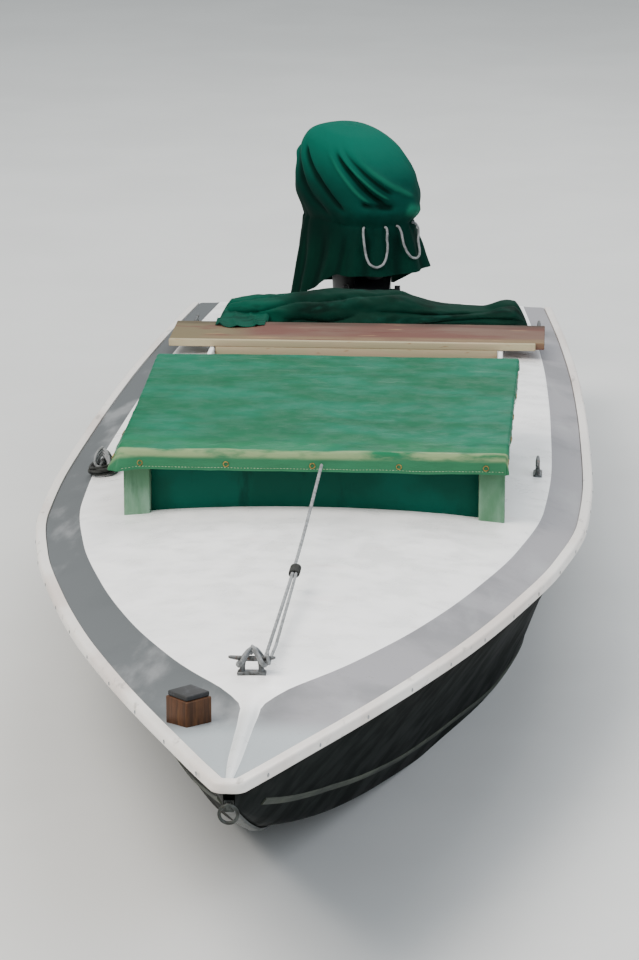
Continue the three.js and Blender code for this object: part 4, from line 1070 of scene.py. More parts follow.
floorMatt = surface("paleStudioFloor", {
    "colour": "#d9dad8", "rough": 0.8,
    "tones": [{"colour": "#d1d2d0", "size": 900, "cut": (0.35, 0.65), "amount": 0.6}],
})
floorPiece = grid("studioFloor", floorRows(), wrap=True, materials=[floorMatt])
faceUp(floorPiece)

world = bpy.data.worlds.new("studioWorld")
bpy.context.scene.world = world
world.use_nodes = True
world.node_tree.nodes["Background"].inputs["Color"].default_value = srgb("#dfe6ea")
world.node_tree.nodes["Background"].inputs["Strength"].default_value = 0.75
lights = [
    {"name": "keyLight", "place": (-4.5, -5.0, 9.0), "size": 6.0, "power": 1500, "colour": "#fff8f0"},
    {"name": "fillLight", "place": (7.0, -4.0, 6.0), "size": 6.0, "power": 420, "colour": "#eef4ff"},
    {"name": "backLight", "place": (1.5, 7.5, 8.5), "size": 6.0, "power": 700, "colour": "#ffffff"},
]
for row in lights:
    lamp = bpy.data.lights.new(row["name"], "AREA")
    lamp.size = row["size"]
    lamp.energy = row["power"]
    lamp.color = srgb(row["colour"])[:3]
    standAt(row["name"], lamp, row["place"], (0, 0, 0.3))
print("stage and lights made")

# Stem band, keel batten and the eye with its ring

stemLook = {"fore": hull["bowY"], "aft": -1150, "half": 13, "thick": 7}
battenLook = {"fore": -900, "aft": 2650, "half": 22, "thick": 16, "footZ": -165}


# Strip under the keel's line; its lower face is a little narrower, at the height that low() gives.
def underStrip(name, row, low, material, narrow=0.82):
    rows = []
    for y in evenly(row["fore"], row["aft"], 60):
        z = keelZ(y) - fit
        rows.append([(x, y, h) for x, h in roundedLine(
            [(row["half"], z), (row["half"] * narrow, low(z)), (-row["half"] * narrow, low(z)),
             (-row["half"], z)], 4, 3)])
    return tube(name, rows, material)


stemBand = underStrip("stemBand", stemLook, lambda z: z - stemLook["thick"], tarnishedSteelPaintedShade)
place(stemBand, "boat", "stem_metal", "stem_band")
keelBatten = underStrip("keelBatten", battenLook,
                        lambda z: min(z - battenLook["thick"], battenLook["footZ"]), hullPaint)
place(keelBatten, "boat", "hull_grp", "keel_batten")

eye = {"z": 604, "ringAt": 16, "ringDrop": 18, "ring": 20, "wire": 4,
       "plateHalf": 10, "plateOut": 5, "plateUp": 9, "lugHalf": 5, "lugOut": 20, "lugIn": 4, "lugUp": 7}
ringRows = []
for turn in ringAngles(40) + [0]:
    out = Vector((math.sin(turn), 0, math.cos(turn)))
    middle = Vector((0, hull["bowY"] - eye["ringAt"], eye["z"] - eye["ringDrop"])) + out * eye["ring"]
    ringRows.append([middle + (out * math.cos(a) + Vector((0, 1, 0)) * math.sin(a)) * eye["wire"]
                     for a in ringAngles(12)])
stemEye = fuse("stemEye", [
    grid("ringPart", ringRows, wrap=True, materials=[tarnishedSteelPaintedShade]),
    box("eyePlate", -eye["plateHalf"], eye["plateHalf"], hull["bowY"] - eye["plateOut"], hull["bowY"] - fit,
        eye["z"] - eye["plateHalf"], eye["z"] + eye["plateUp"], 1.5, 2, [tarnishedSteelPaintedShade]),
    box("eyeLug", -eye["lugHalf"], eye["lugHalf"], hull["bowY"] - eye["lugOut"], hull["bowY"] - eye["lugIn"],
        eye["z"] - eye["lugUp"], eye["z"] + eye["lugUp"], 2.4, 3, [tarnishedSteelPaintedShade]),
])
place(stemEye, "boat", "stem_metal", "stem_eye")

# Raised strip on each side, a little above the chine, coloured lighter than the hull as a painted highlight
chineStrip = {"foreY": -2620, "aftY": 2880, "half": 10, "proud": 4, "steps": 120,
              "foreShare": 0.23, "aftShare": 0.16, "changeY": -2000, "changeOver": 750}
stripParts = []
for _, sign in bothSides:
    rows = []
    for y in evenly(chineStrip["foreY"], chineStrip["aftY"], chineStrip["steps"]):
        share = mix(chineStrip["foreShare"], chineStrip["aftShare"],
                    clamp((y - chineStrip["changeY"]) / chineStrip["changeOver"]))
        along = Vector((sheerX(y) - chineX(y), sheerZ(y) - chineZ(y)))
        spot = Vector((chineX(y), chineZ(y))) + along * share
        along.normalize()
        out = Vector((along.y, -along.x))
        corners = [spot + along * a + out * o for a, o in roundedLine(
            [(-chineStrip["half"], fit), (-chineStrip["half"] + 2, chineStrip["proud"]),
             (chineStrip["half"] - 2, chineStrip["proud"]), (chineStrip["half"], fit)], 3, 3)]
        rows.append([(sign * c.x, y, c.y) for c in corners])
    stripParts.append(tube("strip", rows, chineHighlightVinyl))
place(fuse("chineStrips", stripParts), "boat", "hull_grp")

# Cockpit: floor boards and coamings

sole = {"z": 32, "half": 470, "fore": -250, "aft": 2330, "boards": 5, "wide": 174, "gap": 17.5, "thick": 18,
        "bearers": (250, 900, 1600, 2250), "bearerHalf": 30, "screwSide": 55}
boardStarts = [-sole["half"] + i * (sole["wide"] + sole["gap"]) for i in range(sole["boards"])]
soleLow = sole["z"] - sole["thick"]
soleParts = [box("board", x, x + sole["wide"], sole["fore"], sole["aft"], soleLow, sole["z"], 2.5, 2,
                 [floorWood]) for x in boardStarts]
for y in sole["bearers"]:
    fore, aft = y - sole["bearerHalf"], y + sole["bearerHalf"]
    low = max(chineZ(fore), chineZ(aft)) + hull["floor"]
    soleParts.append(box("bearer", -sole["half"], sole["half"], fore, aft, low, soleLow, 2, 1,
                         [floorWood]))
place(fuse("floorBoards", soleParts), "boat", "floor_wood", "floor_boards")
soleSpots = [((x + sole["wide"] / 2 + side * sole["screwSide"], y, sole["z"]), (0, 0, 1), (1, 0.3 * side, 0))
             for x in boardStarts for y in sole["bearers"] for side in (-1, 1)]
repeatOn("floorScrews", soleSpots, {"Head radius": 4.5, "Crown radius": 3.6, "Head height": 0.8}, screwHead,
         castIron, "cleat_metal")

coaming = {"thick": 16, "up": 64, "down": 70, "fore": 601, "half": hull["cockpitHalf"] - fit}
for name, sign in bothSides:
    rows = []
    for y in evenly(coaming["fore"], hull["cockpitAft"] - coaming["thick"] - 1, 40):
        x1, x0 = sign * coaming["half"], sign * (coaming["half"] - coaming["thick"])
        line = roundedLine([(x0, -coaming["down"]), (x0, coaming["up"]), (x1, coaming["up"]),
                            (x1, -coaming["down"])], 6, 4)
        rows.append([(x, y, sheerZ(y) + h) for x, h in line])
    place(tube("coaming" + name.capitalize(), rows, whiteGelcoat), "boat", "white_grp", "coaming_" + name)
aftZ = sheerZ(hull["cockpitAft"])
coamingAft = box("coamingAft", -coaming["half"], coaming["half"], hull["cockpitAft"] - coaming["thick"],
                 hull["cockpitAft"] - fit, aftZ - coaming["down"], aftZ + coaming["up"], 5, 3, [whiteGelcoat])
place(coamingAft, "boat", "white_grp", "coaming_aft")
print("cockpit made")

# Low box over the forward cockpit and its tarpaulin

cover = {
    "foreY": -555, "aftY": 600, "x": 18, "foreHalf": 536, "aftHalf": 552, "topZ": 758, "hem": 48,
    "board": 15, "panel": 14, "postHalf": 36, "postDeep": 50, "postX": 492, "postAft": -450, "panelAft": 585,
    "panelIn": 8, "cloth": 4.3, "sunk": {"post": 4, "side": 2, "front": 3},
}
boardTop = cover["topZ"] - cover["cloth"]
postReach = cover["postHalf"] + 4
postMiddleY = cover["postAft"] - cover["postDeep"] / 2
boxTop = boardTop - cover["board"] - fit
for name, sign in bothSides:
    x = cover["x"] + sign * cover["postX"]
    foot = min(deckZ(x + reach, postMiddleY) for reach in (-postReach, postReach)) - cover["sunk"]["post"]
    post = box("coverPost" + name.capitalize(), x - cover["postHalf"], x + cover["postHalf"],
               cover["postAft"] - cover["postDeep"], cover["postAft"], foot, boxTop, 4, 3, [postPaint])
    place(post, "boat", "post_green", "cover_post_" + name)
    outer = x + sign * (cover["panelIn"] + cover["panel"])
    low, high = sorted((x + sign * cover["panelIn"], outer))
    rows = []
    for y in evenly(cover["postAft"] + fit, cover["panelAft"], 30):
        foot = deckZ(outer, y) - cover["sunk"]["side"]
        rows.append([(a, y, z) for a, z in roundedLine(
            [(low, foot), (low, boxTop), (high, boxTop), (high, foot)], 2, 2)])
    panel = tube("coverSidePanel" + name.capitalize(), rows, panelPaint)
    place(panel, "boat", "panel_green", "cover_side_panel_" + name)
panelHalf = cover["postX"] - cover["postHalf"] - fit
panelMiddleY = cover["postAft"] - cover["panel"] / 2
frontLine = [(cover["x"] + t * panelHalf,
              deckZ(cover["x"] + t * panelHalf, panelMiddleY) - cover["sunk"]["front"])
             for t in evenly(-1, 1, 17)]
frontLine += [(cover["x"] + panelHalf, boxTop), (cover["x"] - panelHalf, boxTop)]
frontPanel = prism("coverFrontPanel", frontLine, cover["postAft"] - cover["panel"], cover["postAft"],
                   "y", 1.5, 2, [panelPaint])
place(frontPanel, "boat", "panel_green", "cover_front_panel")
boardIn = 6          # the board stands this far inside the cloth's outline
boardOutline = [(cover["x"] + sign * (cover[key] - boardIn), y)
                for key, y, order in (("foreHalf", cover["foreY"] + boardIn, (-1, 1)),
                                      ("aftHalf", cover["aftY"] - boardIn, (1, -1)))
                for sign in order]
coverBoard = prism("coverBoard", boardOutline, boardTop - cover["board"], boardTop, "z", 3, 2, [plywood])
place(coverBoard, "boat", "board_ply", "cover_board")

tarp = {
    "round": 9, "thick": 1.4, "above": 4.2, "deepest": -1.8, "tuck": 2.5, "wander": 0.03,
    "pleat": {"out": 7, "count": 3, "from": 0.4, "shorter": 0.02},
    "flare": {"out": 26, "from": 0.9, "until": 0.35},
    "slack": [{"high": 2.4, "u": 0.0035, "v": 0.006, "seed": 2.0},
              {"high": 1.4, "u": 0.011, "v": 0.02, "seed": 5.0}],
    "wave": [{"high": 5.0, "u": 0.011, "v": 0.011, "seed": 9.0},
             {"high": 2.0, "u": 0.03, "v": 0.03, "seed": 4.0}],
    "ragged": [{"high": 3.0, "u": 0.008, "v": 0.008, "seed": 7.0}],
    "creases": [
        {"at": -0.86, "tilt": 0.05, "deep": 2.6, "wide": 0.03},
        {"at": -0.55, "tilt": -0.04, "deep": 2.2, "wide": 0.05},
        {"at": -0.2, "tilt": 0.06, "deep": 2.4, "wide": 0.035},
        {"at": 0.14, "tilt": -0.03, "deep": 1.8, "wide": 0.06},
        {"at": 0.47, "tilt": 0.05, "deep": 2.4, "wide": 0.04},
        {"at": 0.8, "tilt": -0.04, "deep": 2.0, "wide": 0.05},
    ],
}
halfV = (cover["aftY"] - cover["foreY"]) / 2
middleV = (cover["aftY"] + cover["foreY"]) / 2
insideV = halfV - tarp["round"]


# Half the cover's width at a place along it.
def coverHalf(v):
    return mix(cover["foreHalf"], cover["aftHalf"], clamp((v + halfV) / (2 * halfV)))


# How far a flat place of the cloth lies past the top's flat part, across and along.
def pastEdge(u, v):
    return max(0, abs(u) - (coverHalf(v) - tarp["round"])), max(0, abs(v) - insideV)


# Height of the waves that a table gives at a flat place of the cloth.
def clothWaves(rows, u, v):
    return sum(row["high"] * drift(u * row["u"], v * row["v"], row["seed"]) for row in rows)


# Point of the cover cloth for a flat place (u across, v along), in mm; corners hang in pleats.
def coverPoint(u, v):
    half = coverHalf(v)
    insideU = half - tarp["round"]
    overU, overV = pastEdge(u, v)
    over = math.hypot(overU, overV)
    baseU, baseV = math.copysign(min(abs(u), insideU), u), math.copysign(min(abs(v), insideV), v)
    bend = tarp["round"] * math.pi / 2
    if over <= 0:
        out, down = 0, 0
    elif over < bend:
        a = over / tarp["round"]
        out, down = tarp["round"] * math.sin(a), tarp["round"] * (1 - math.cos(a))
    else:
        out, down = tarp["round"], tarp["round"] + over - bend
    angle = math.atan2(overV, overU) if over > 0 else 0
    du, dv = math.copysign(math.cos(angle), u), math.copysign(math.sin(angle), v)
    hang = clamp(down / cover["hem"])
    # creases across the top, deepest near the front, and slack between the battens
    crease = 0
    for k, row in enumerate(tarp["creases"]):
        line = v / halfV - row["at"] - row["tilt"] * u / half + tarp["wander"] * drift(u * 0.004, k, 0)
        crease += row["deep"] * math.exp(-(line / row["wide"]) ** 2)
    top = boardTop + tarp["above"] + crease + max(clothWaves(tarp["slack"], u, v), tarp["deepest"])
    corner = math.sin(angle * 2) * hang
    pleat, flare = tarp["pleat"], tarp["flare"]
    # the starboard side hangs out slack near the front
    loose = ease((-u / insideU - flare["from"]) / (1 - flare["from"])) * ease(flare["until"] - v / halfV)
    out += hang * (clothWaves(tarp["wave"], u, v) + flare["out"] * loose - tarp["tuck"])
    out += corner * pleat["out"] * abs(math.sin(angle * pleat["count"] + pleat["from"]))
    length = down * (1 - pleat["shorter"] * corner) + hang * clothWaves(tarp["ragged"], u, v)
    return (cover["x"] + baseU + du * out, middleV + baseV + dv * out,
            mix(top, cover["topZ"] - 1, ease(hang * 4)) - length)


# Places across the flat cloth: wide apart on top, close round the edge and down the hem.
def flatLine(half):
    inside = half - tarp["round"]
    reach = tarp["round"] * (math.pi / 2 - 1) + cover["hem"]
    centre = evenly(-inside, inside, int(2 * inside / 12))
    bend = [inside + t * tarp["round"] * math.pi / 2 for t in (0.25, 0.5, 0.75, 1.0)]
    drop = evenly(inside + tarp["round"] * math.pi / 2, inside + tarp["round"] + reach, 9)[1:]
    outerSide = bend + drop
    return [-t for t in reversed(outerSide)] + centre + outerSide


lineV = flatLine(halfV)
hemReach = lineV[-1] - insideV


# Keeps the corner of the cloth at an even depth, as if it were cut round.
def roundCorner(u, v):
    overU, overV = pastEdge(u, v)
    if overU and overV:
        scale = max(overU, overV) / math.hypot(overU, overV)
        u = math.copysign(coverHalf(v) - tarp["round"] + overU * scale, u)
        v = math.copysign(insideV + overV * scale, v)
    return u, v


flatRows = [[roundCorner(u, v) for u in flatLine(coverHalf(v))] for v in lineV]
coverSheet = grid("coverTarpaulin", [[coverPoint(u, v) for u, v in row] for row in flatRows],
                  uvs=lambda r, i: flatRows[r][i], materials=[coverCloth], tidy=False)
faceUp(coverSheet, len(coverSheet.data.polygons) // 2)
thicken(coverSheet, tarp["thick"])
place(coverSheet, "boat", "tarp_green", "cover_tarpaulin", angle=60)


# Spots along the hem, a given height above its lower edge, with the way out and the way along.
def hemSpots(above, spacing, skipCorner, proud=0.9):
    spots = []
    reach = hemReach - above
    for _, sign in bothSides:
        half = coverHalf(sign * halfV) - skipCorner
        for u in evenly(-half, half, int(2 * half / spacing)):
            spots.append(((u, sign * (insideV + reach)), (4, 0)))
        half = insideV - skipCorner
        for v in evenly(-half, half, int(2 * half / spacing)):
            spots.append(((sign * (coverHalf(v) - tarp["round"] + reach), v), (0, 4)))
    found = []
    for (u, v), (du, dv) in spots:
        here = Vector(coverPoint(u, v))
        along = Vector(coverPoint(u + du, v + dv)) - here
        down = Vector(coverPoint(u + (0 if du else math.copysign(2, u)),
                                 v + (0 if dv else math.copysign(2, v)))) - here
        out = along.cross(down).normalized()
        if out.dot(here - Vector((cover["x"], middleV, here.z))) < 0:
            out = -out
        found.append((here + out * proud, out, along.normalized()))
    return found


eyelets = repeatOn("coverEyelets", hemSpots(above=18, spacing=190, skipCorner=60),
                   {"Ring radius": 7, "Wire radius": 1.6}, eyeletRing, brassRing, "stem_metal")
stitches = repeatOn("coverStitches", hemSpots(above=8, spacing=9, skipCorner=14),
                    {"Thread radius": 0.9}, threadStitch, threadCream, "tarp_green")
print("cover made")

# Cross bench

bench = {"foreY": 1935, "deep": 270, "half": 640, "thick": 24,
         "apron": 20, "apronShort": 30, "drop": 30, "stripHalf": 480}
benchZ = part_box("bench_board")[0][2] * 1000
benchBoard = box("benchBoard", -bench["half"], bench["half"], bench["foreY"], bench["foreY"] + bench["deep"],
                 benchZ, benchZ + bench["thick"], 3.5, 3, [benchPaint])
place(benchBoard, "boat", "red_wood", "bench_board")
apronY = (bench["foreY"] - bench["apron"], bench["foreY"] - fit)
benchApron = fuse("benchApron", [
    box("apronEdge", -bench["half"], bench["half"] - bench["apronShort"], *apronY,
        benchZ, benchZ + bench["thick"], 3, 3, [creamPaint]),
    box("apronStrip", -bench["stripHalf"], bench["stripHalf"], *apronY,
        benchZ - bench["drop"], benchZ + 1, 3, 2, [creamPaint]),
])
place(benchApron, "boat", "cream_wood", "bench_apron")
print("bench made")

# Bunched tarpaulin on the aft deck

bundleRows = [
    {"x": -520, "y": 2470, "wide": 40, "high": 20}, {"x": -480, "y": 2462, "wide": 100, "high": 50},
    {"x": -380, "y": 2455, "wide": 126, "high": 66}, {"x": -260, "y": 2468, "wide": 108, "high": 74},
    {"x": -100, "y": 2478, "wide": 100, "high": 90}, {"x": 100, "y": 2480, "wide": 98, "high": 84},
    {"x": 280, "y": 2486, "wide": 82, "high": 40}, {"x": 420, "y": 2484, "wide": 78, "high": 34},
    {"x": 500, "y": 2482, "wide": 94, "high": 56}, {"x": 545, "y": 2482, "wide": 84, "high": 50},
    {"x": 578, "y": 2484, "wide": 40, "high": 20},
]
bundleY, bundleWide, bundleHigh = smoothTables(bundleRows, ("y", "wide", "high"), "x")
bundle = {
    "x0": -520, "x1": 578, "z": 464, "columns": 170, "around": 84, "thick": 1.6, "from": -38, "to": 218,
    "tuck": 46, "foldCount": 3.2, "twist": 0.006, "foldDeep": 0.17, "ripple": 0.08, "knuckle": 0.035,
    "foreY": 2363.5, "clear": 2.2, "cloth": (1096, 330),
}


# The bundle's section is an open loop round its middle line, drawn in where the cloth folds.
def bundlePoint(x, t):
    a = mix(math.radians(bundle["from"]), math.radians(bundle["to"]), t)
    tuck = math.sqrt(clamp(min(x - bundle["x0"], bundle["x1"] - x) / bundle["tuck"]))
    wide, high, middle = bundleWide(x) * tuck, bundleHigh(x) * tuck, bundleY(x)
    fold = abs(math.sin(bundle["foldCount"] * a + bundle["twist"] * x + 1.6 * drift(x * 0.006, a, 1.0)))
    shrink = (1 - bundle["foldDeep"] * (1 - fold) ** 2 + bundle["ripple"] * drift(x * 0.012, 2.2 * a, 3.0)
              + bundle["knuckle"] * drift(x * 0.03, 4 * a, 8.0))
    y = max(middle + math.cos(a) * wide * shrink * 0.97, bundle["foreY"])
    z = mix(deckZ(x, middle) + 3, bundle["z"], tuck) + math.sin(a) * high * shrink
    return (x, y, max(z, deckZ(x, y) + bundle["clear"]))


# Sheet of the stern canvas from a grid of points, cut to a flat size and starting at a flat place.
def canvasSheet(name, rows, size, startV, upFace):
    piece = grid(name, rows, materials=[sternCanvas], tidy=False, uvs=lambda r, i: (
        r * size[0] / len(rows), startV + i * size[1] / len(rows[0])))
    faceUp(piece, upFace)
    return thicken(piece, bundle["thick"])


bundleGrid = [[bundlePoint(x, t) for t in evenly(0, 1, bundle["around"])]
              for x in evenly(bundle["x0"] + 1, bundle["x1"] - 1, bundle["columns"])]
middleFace = (bundle["columns"] - 1) * (bundle["around"] - 1) // 2 + bundle["around"] // 2
bundlePiece = canvasSheet("sternBundle", bundleGrid, bundle["cloth"], 0, middleFace)

# Its loose end reaches forward over the coaming and lies on the aft edge of the bench.
flapRows = [{"x": -492, "foreY": 2130, "dip": 16}, {"x": -440, "foreY": 2098, "dip": 12},
            {"x": -390, "foreY": 2106, "dip": 14}, {"x": -338, "foreY": 2142, "dip": 11}]
flapFore, flapDip = smoothTables(flapRows, ("foreY", "dip"), "x")
flap = {
    "x0": -500, "x1": -330, "aftY": 2430, "benchAft": 2210, "span": 190, "columns": 48, "rows": 60,
    "ragged": 9, "fold": 7, "crumple": 1.5, "edge": 14, "edgeDrop": 12, "aftDrop": 6, "cloth": (170, 330),
    "startV": 400,
}


def flapPoint(x, t):
    top = benchZ + bench["thick"] + bundle["clear"]
    foreY = flapFore(x) + flap["ragged"] * drift(x * 0.03, 0, 6.0)
    y = mix(foreY, flap["aftY"], t)
    past = y - flap["benchAft"]
    sag = flapDip(x) * math.sin(math.pi * clamp(past / flap["span"]))
    fold = abs(math.sin(x * 0.052 + (y - 2100) * 0.006 + 1.2 * drift(x * 0.012, y * 0.006, 2.0)))
    ridge = (1 - fold) ** 2 * flap["fold"] * mix(1.2, 0.55, ease((past + 4) / 40))
    ridge += flap["crumple"] * (1 + drift(x * 0.04, y * 0.03, 4.0))
    edge = clamp(min(x - flap["x0"], flap["x1"] - x) / flap["edge"])
    drop = (1 - edge) ** 2 * flap["edgeDrop"] * ease((past - 2) / 30)
    return (x, y, top + ridge - sag - drop - flap["aftDrop"] * ease((past - 120) / 90))


flapGrid = [[flapPoint(x, t) for t in evenly(0, 1, flap["rows"])]
            for x in evenly(flap["x0"], flap["x1"], flap["columns"])]
flapPiece = canvasSheet("sternFlap", flapGrid, flap["cloth"], flap["startV"], 0)
sternTarp = fuse("sternTarpaulin", [bundlePiece, flapPiece])
place(sternTarp, "boat", "tarp_teal", "stern_tarpaulin", angle=60)


print("stern tarpaulin made")

# Cleats, bow block and the line that holds the cover down

cleatRows = [
    {"name": "bow", "x": -12, "y": -2190, "turn": 90, "bar": 110, "metal": castIron},
    {"name": "side_starboard", "x": -640, "y": 90, "turn": 0, "bar": 120, "metal": castIron},
    {"name": "side_port", "x": 632, "y": 160, "turn": 0, "bar": 120, "metal": castIron},
    {"name": "quarter_starboard", "x": -592, "y": 2400, "turn": 0, "bar": 120, "metal": castIron},
    {"name": "quarter_port", "x": 618, "y": 2400, "turn": 0, "bar": 100, "metal": castIron},
]


cleatLook = {"hornZ": 37.5, "hornLift": 3.5, "horn": 6.6, "hornTip": 2.2, "footHalf": (13, 34), "footTop": 8,
             "legFoot": (23, 4), "legTop": (19, 36), "legRadii": (10, 7.5, 6.4, 5.8, 5.8, 6.2, 6.8)}


def capitals(name):
    return "".join(word.capitalize() for word in name.split("_"))


def taperedBar(name, path, radii, material, sides=14):
    rows = [[p + side * math.cos(a) * r + other * math.sin(a) * r for a in ringAngles(sides)]
            for (p, side, other), r in zip(squareTo(path), radii)]
    return tube(name, rows, material)


def cleatPiece(row):
    z = deckZ(row["x"], row["y"])
    shares = evenly(-1, 1, 25)
    horn = [Vector((0, t * row["bar"] / 2, cleatLook["hornZ"] + cleatLook["hornLift"] * abs(t) ** 2.2))
            for t in shares]
    radii = [cleatLook["horn"] * (1 - 0.45 * t ** 2) if abs(t) < 1 else cleatLook["hornTip"] for t in shares]
    parts = [taperedBar("horn", horn, radii, row["metal"])]
    for sign in (-1, 1):
        legs = len(cleatLook["legRadii"])
        leg = [Vector((0, sign * y, high)) for y, high in zip(
            evenly(cleatLook["legFoot"][0], cleatLook["legTop"][0], legs),
            evenly(cleatLook["legFoot"][1], cleatLook["legTop"][1], legs))]
        parts.append(taperedBar("leg", leg, cleatLook["legRadii"], row["metal"]))
    wide, long = cleatLook["footHalf"]
    low = min(deckZ(row["x"] + a, row["y"] + b) for a in (-wide, wide) for b in (-long, long)) - z
    parts.append(box("foot", -wide, wide, -long, long, low - 1, cleatLook["footTop"], 4, 3, [row["metal"]]))
    piece = setDown(fuse("cleat" + capitals(row["name"]), parts), row, z)
    return place(piece, "boat", "cleat_metal", "cleat_" + row["name"])


for row in cleatRows:
    cleatPiece(row)

blockLook = {"x": -131, "y": -2470, "side": 74, "high": 62, "padIn": 3, "sunk": 6, "turn": 45}
blockZ = deckZ(blockLook["x"], blockLook["y"])
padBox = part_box("bow_block_pad")


def blockPiece(name, half, z0, z1, radius, material, slotName, node):
    piece = box(name, -half, half, -half, half, z0, z1, radius, 3, [material])
    place(setDown(piece, blockLook, 0), "boat", slotName, node)


blockPiece("bowBlock", blockLook["side"] / 2, blockZ - blockLook["sunk"], blockZ + blockLook["high"], 3,
           oakBlock, "brown_wood", "bow_block")
blockPiece("bowBlockPad", blockLook["side"] / 2 - blockLook["padIn"], padBox[0][2] * 1000,
           padBox[1][2] * 1000, 3.5, blackRubber, "black_pad", "bow_block_pad")

bowCleat, sideCleat = cleatRows[0], cleatRows[1]
bowCleatZ = deckZ(bowCleat["x"], bowCleat["y"])


def ropePiece(name, path, radius, material, *nodes, sides=12):
    place(laidRope(name, path, radius, material, sides), "boat", "rope_grey", *nodes, angle=60)


# The tie line runs from the cover's hem to the bow cleat and sags a little at its middle.
tieLook = {"hemX": 44, "hemOut": 5, "hemUp": 12, "cleatX": 14, "cleatAft": 8.6, "cleatUp": 22,
           "middleX": 35, "middleY": -1350, "sag": 4, "radius": 4.5, "points": 420}
tieFrom = (tieLook["hemX"], cover["foreY"] - tieLook["hemOut"],
           cover["topZ"] - cover["hem"] + tieLook["hemUp"])
tieTo = (tieLook["cleatX"], bowCleat["y"] + tieLook["cleatAft"], bowCleatZ + tieLook["cleatUp"])
tieMiddle = (tieLook["middleX"], tieLook["middleY"], (tieFrom[2] + tieTo[2]) / 2 - tieLook["sag"])
linePath = smoothPath([tieFrom, tieMiddle, tieTo], tieLook["points"])
ropePiece("tieDownLine", linePath, tieLook["radius"], greyRope, "tie_down_line")


turnLook = {"radius": 4.2, "steps": 44, "points": 120, "wide": 17, "wider": 1.5, "long": 31, "longer": 2,
            "low": 21, "over": 29, "layer": 9}


# Figure-eight turns of line on a cleat, in the cleat's own frame; each layer lies on the last.
def cleatTurns(row, turns):
    path = []
    for k in range(turns * turnLook["steps"] + 1):
        layer = k / turnLook["steps"]
        t = 2 * math.pi * layer
        crossing = math.cos(t) ** 2
        lift = turnLook["layer"] * layer * (0.6 + 0.4 * crossing) * (0.4 + 0.6 * crossing)
        path.append(Vector(((turnLook["wide"] + turnLook["wider"] * layer) * math.sin(2 * t),
                            (turnLook["long"] + turnLook["longer"] * layer) * math.sin(t),
                            turnLook["low"] + turnLook["over"] * crossing ** 2 + lift)))
    path = smoothPath(path, turns * turnLook["points"])
    piece = laidRope("turns" + capitals(row["name"]), path, turnLook["radius"], greyRope)
    place(setDown(piece, row, deckZ(row["x"], row["y"])), "boat", "rope_grey", angle=60)


cleatTurns(bowCleat, 2)
cleatTurns(sideCleat, 3)

# Below a lashing the tie line is doubled back to the cleat, with a turn round the cleat's horn.
lashing = {"at": 236, "long": 52, "turns": 9, "steps": 20, "wide": 11.6, "high": 8.6, "radius": 3.0}
second = {"above": 8, "until": 392, "every": 12, "beside": 8.4, "widens": 1.9, "over": 170,
          "radius": 4, "points": 300}
hornTurn = {"along": 42, "middle": 38.5, "reach": 12.5, "loose": 4, "looseFrom": -300, "perDegree": 1 / 55,
            "angles": (-30, -90, -150, -210, -270, -330, -380, -425)}
lashAlong = (linePath[lashing["at"] + 6] - linePath[lashing["at"] - 6]).normalized()
lashSide = lashAlong.cross(Vector((0, 0, 1))).normalized()
lashUp = lashSide.cross(lashAlong)
toPort = lashSide * math.copysign(second["beside"], lashSide.x)
secondPath = [p + toPort * mix(1, second["widens"], k / second["over"])
              for k, p in enumerate(linePath[lashing["at"] - second["above"]:second["until"]])]
secondPath = secondPath[::second["every"]]
for degrees in hornTurn["angles"]:
    a = math.radians(degrees)
    spread = hornTurn["reach"] + (hornTurn["loose"] if degrees < hornTurn["looseFrom"] else 0)
    secondPath.append(Vector((bowCleat["x"] + hornTurn["along"] + degrees * hornTurn["perDegree"],
                              bowCleat["y"] + spread * math.cos(a),
                              bowCleatZ + hornTurn["middle"] + spread * math.sin(a))))
ropePiece("tieLineSecond", smoothPath(secondPath, second["points"]), second["radius"], greyRope)
lashPath = []
for t in evenly(0, 1, lashing["turns"] * lashing["steps"] + 1):
    a = 2 * math.pi * lashing["turns"] * t
    ring = lashSide * math.cos(a) * lashing["wide"] + lashUp * math.sin(a) * lashing["high"]
    lashPath.append(linePath[lashing["at"]] + toPort / 2 + lashAlong * (t - 0.5) * lashing["long"] + ring)
ropePiece("tieLineLashing", lashPath, lashing["radius"], darkLine, sides=8)

# A hank of dark line dropped over the starboard side cleat.
hank = {"loops": 5, "long": 66, "wide": 38, "radius": 4.5, "steps": 44, "points": 420, "stray": 6,
        "uneven": 0.16, "clear": 0.5, "layer": 5.2}
hankPath = []
for k in range(hank["loops"] * hank["steps"] + 1):
    layer = k / hank["steps"]
    t = 2 * math.pi * layer
    swell = 1 + hank["uneven"] * drift(layer * 1.7, math.cos(t), math.sin(t))
    x = sideCleat["x"] + hank["wide"] * math.cos(t) * swell + hank["stray"] * math.sin(layer * 2.1)
    y = sideCleat["y"] + hank["long"] * math.sin(t) * swell - hank["stray"] * math.cos(layer * 1.7)
    hankPath.append(Vector((x, y, deckZ(x, y) + hank["radius"] + hank["clear"] + hank["layer"] * layer)))
ropePiece("sideHank", smoothPath(hankPath, hank["points"]), hank["radius"], darkLine, sides=8)
print("deck gear made")

# Motor: clamp and swivel from the frame with their edges rounded, finer castings for the rest

for node, name, body, radius in (("motor_clamp", "motorClamp", "boat", 3),
                                 ("motor_swivel", "motorSwivel", "swivel", 3),
                                 ("motor_plate", "motorPlate", "head", 2)):
    place(softenedCopy(node, name, radius, motorEnamel), body, "motor_metal", node, angle=40)


ovalPower = 2.4      # a little squarer than an ellipse, which has 2


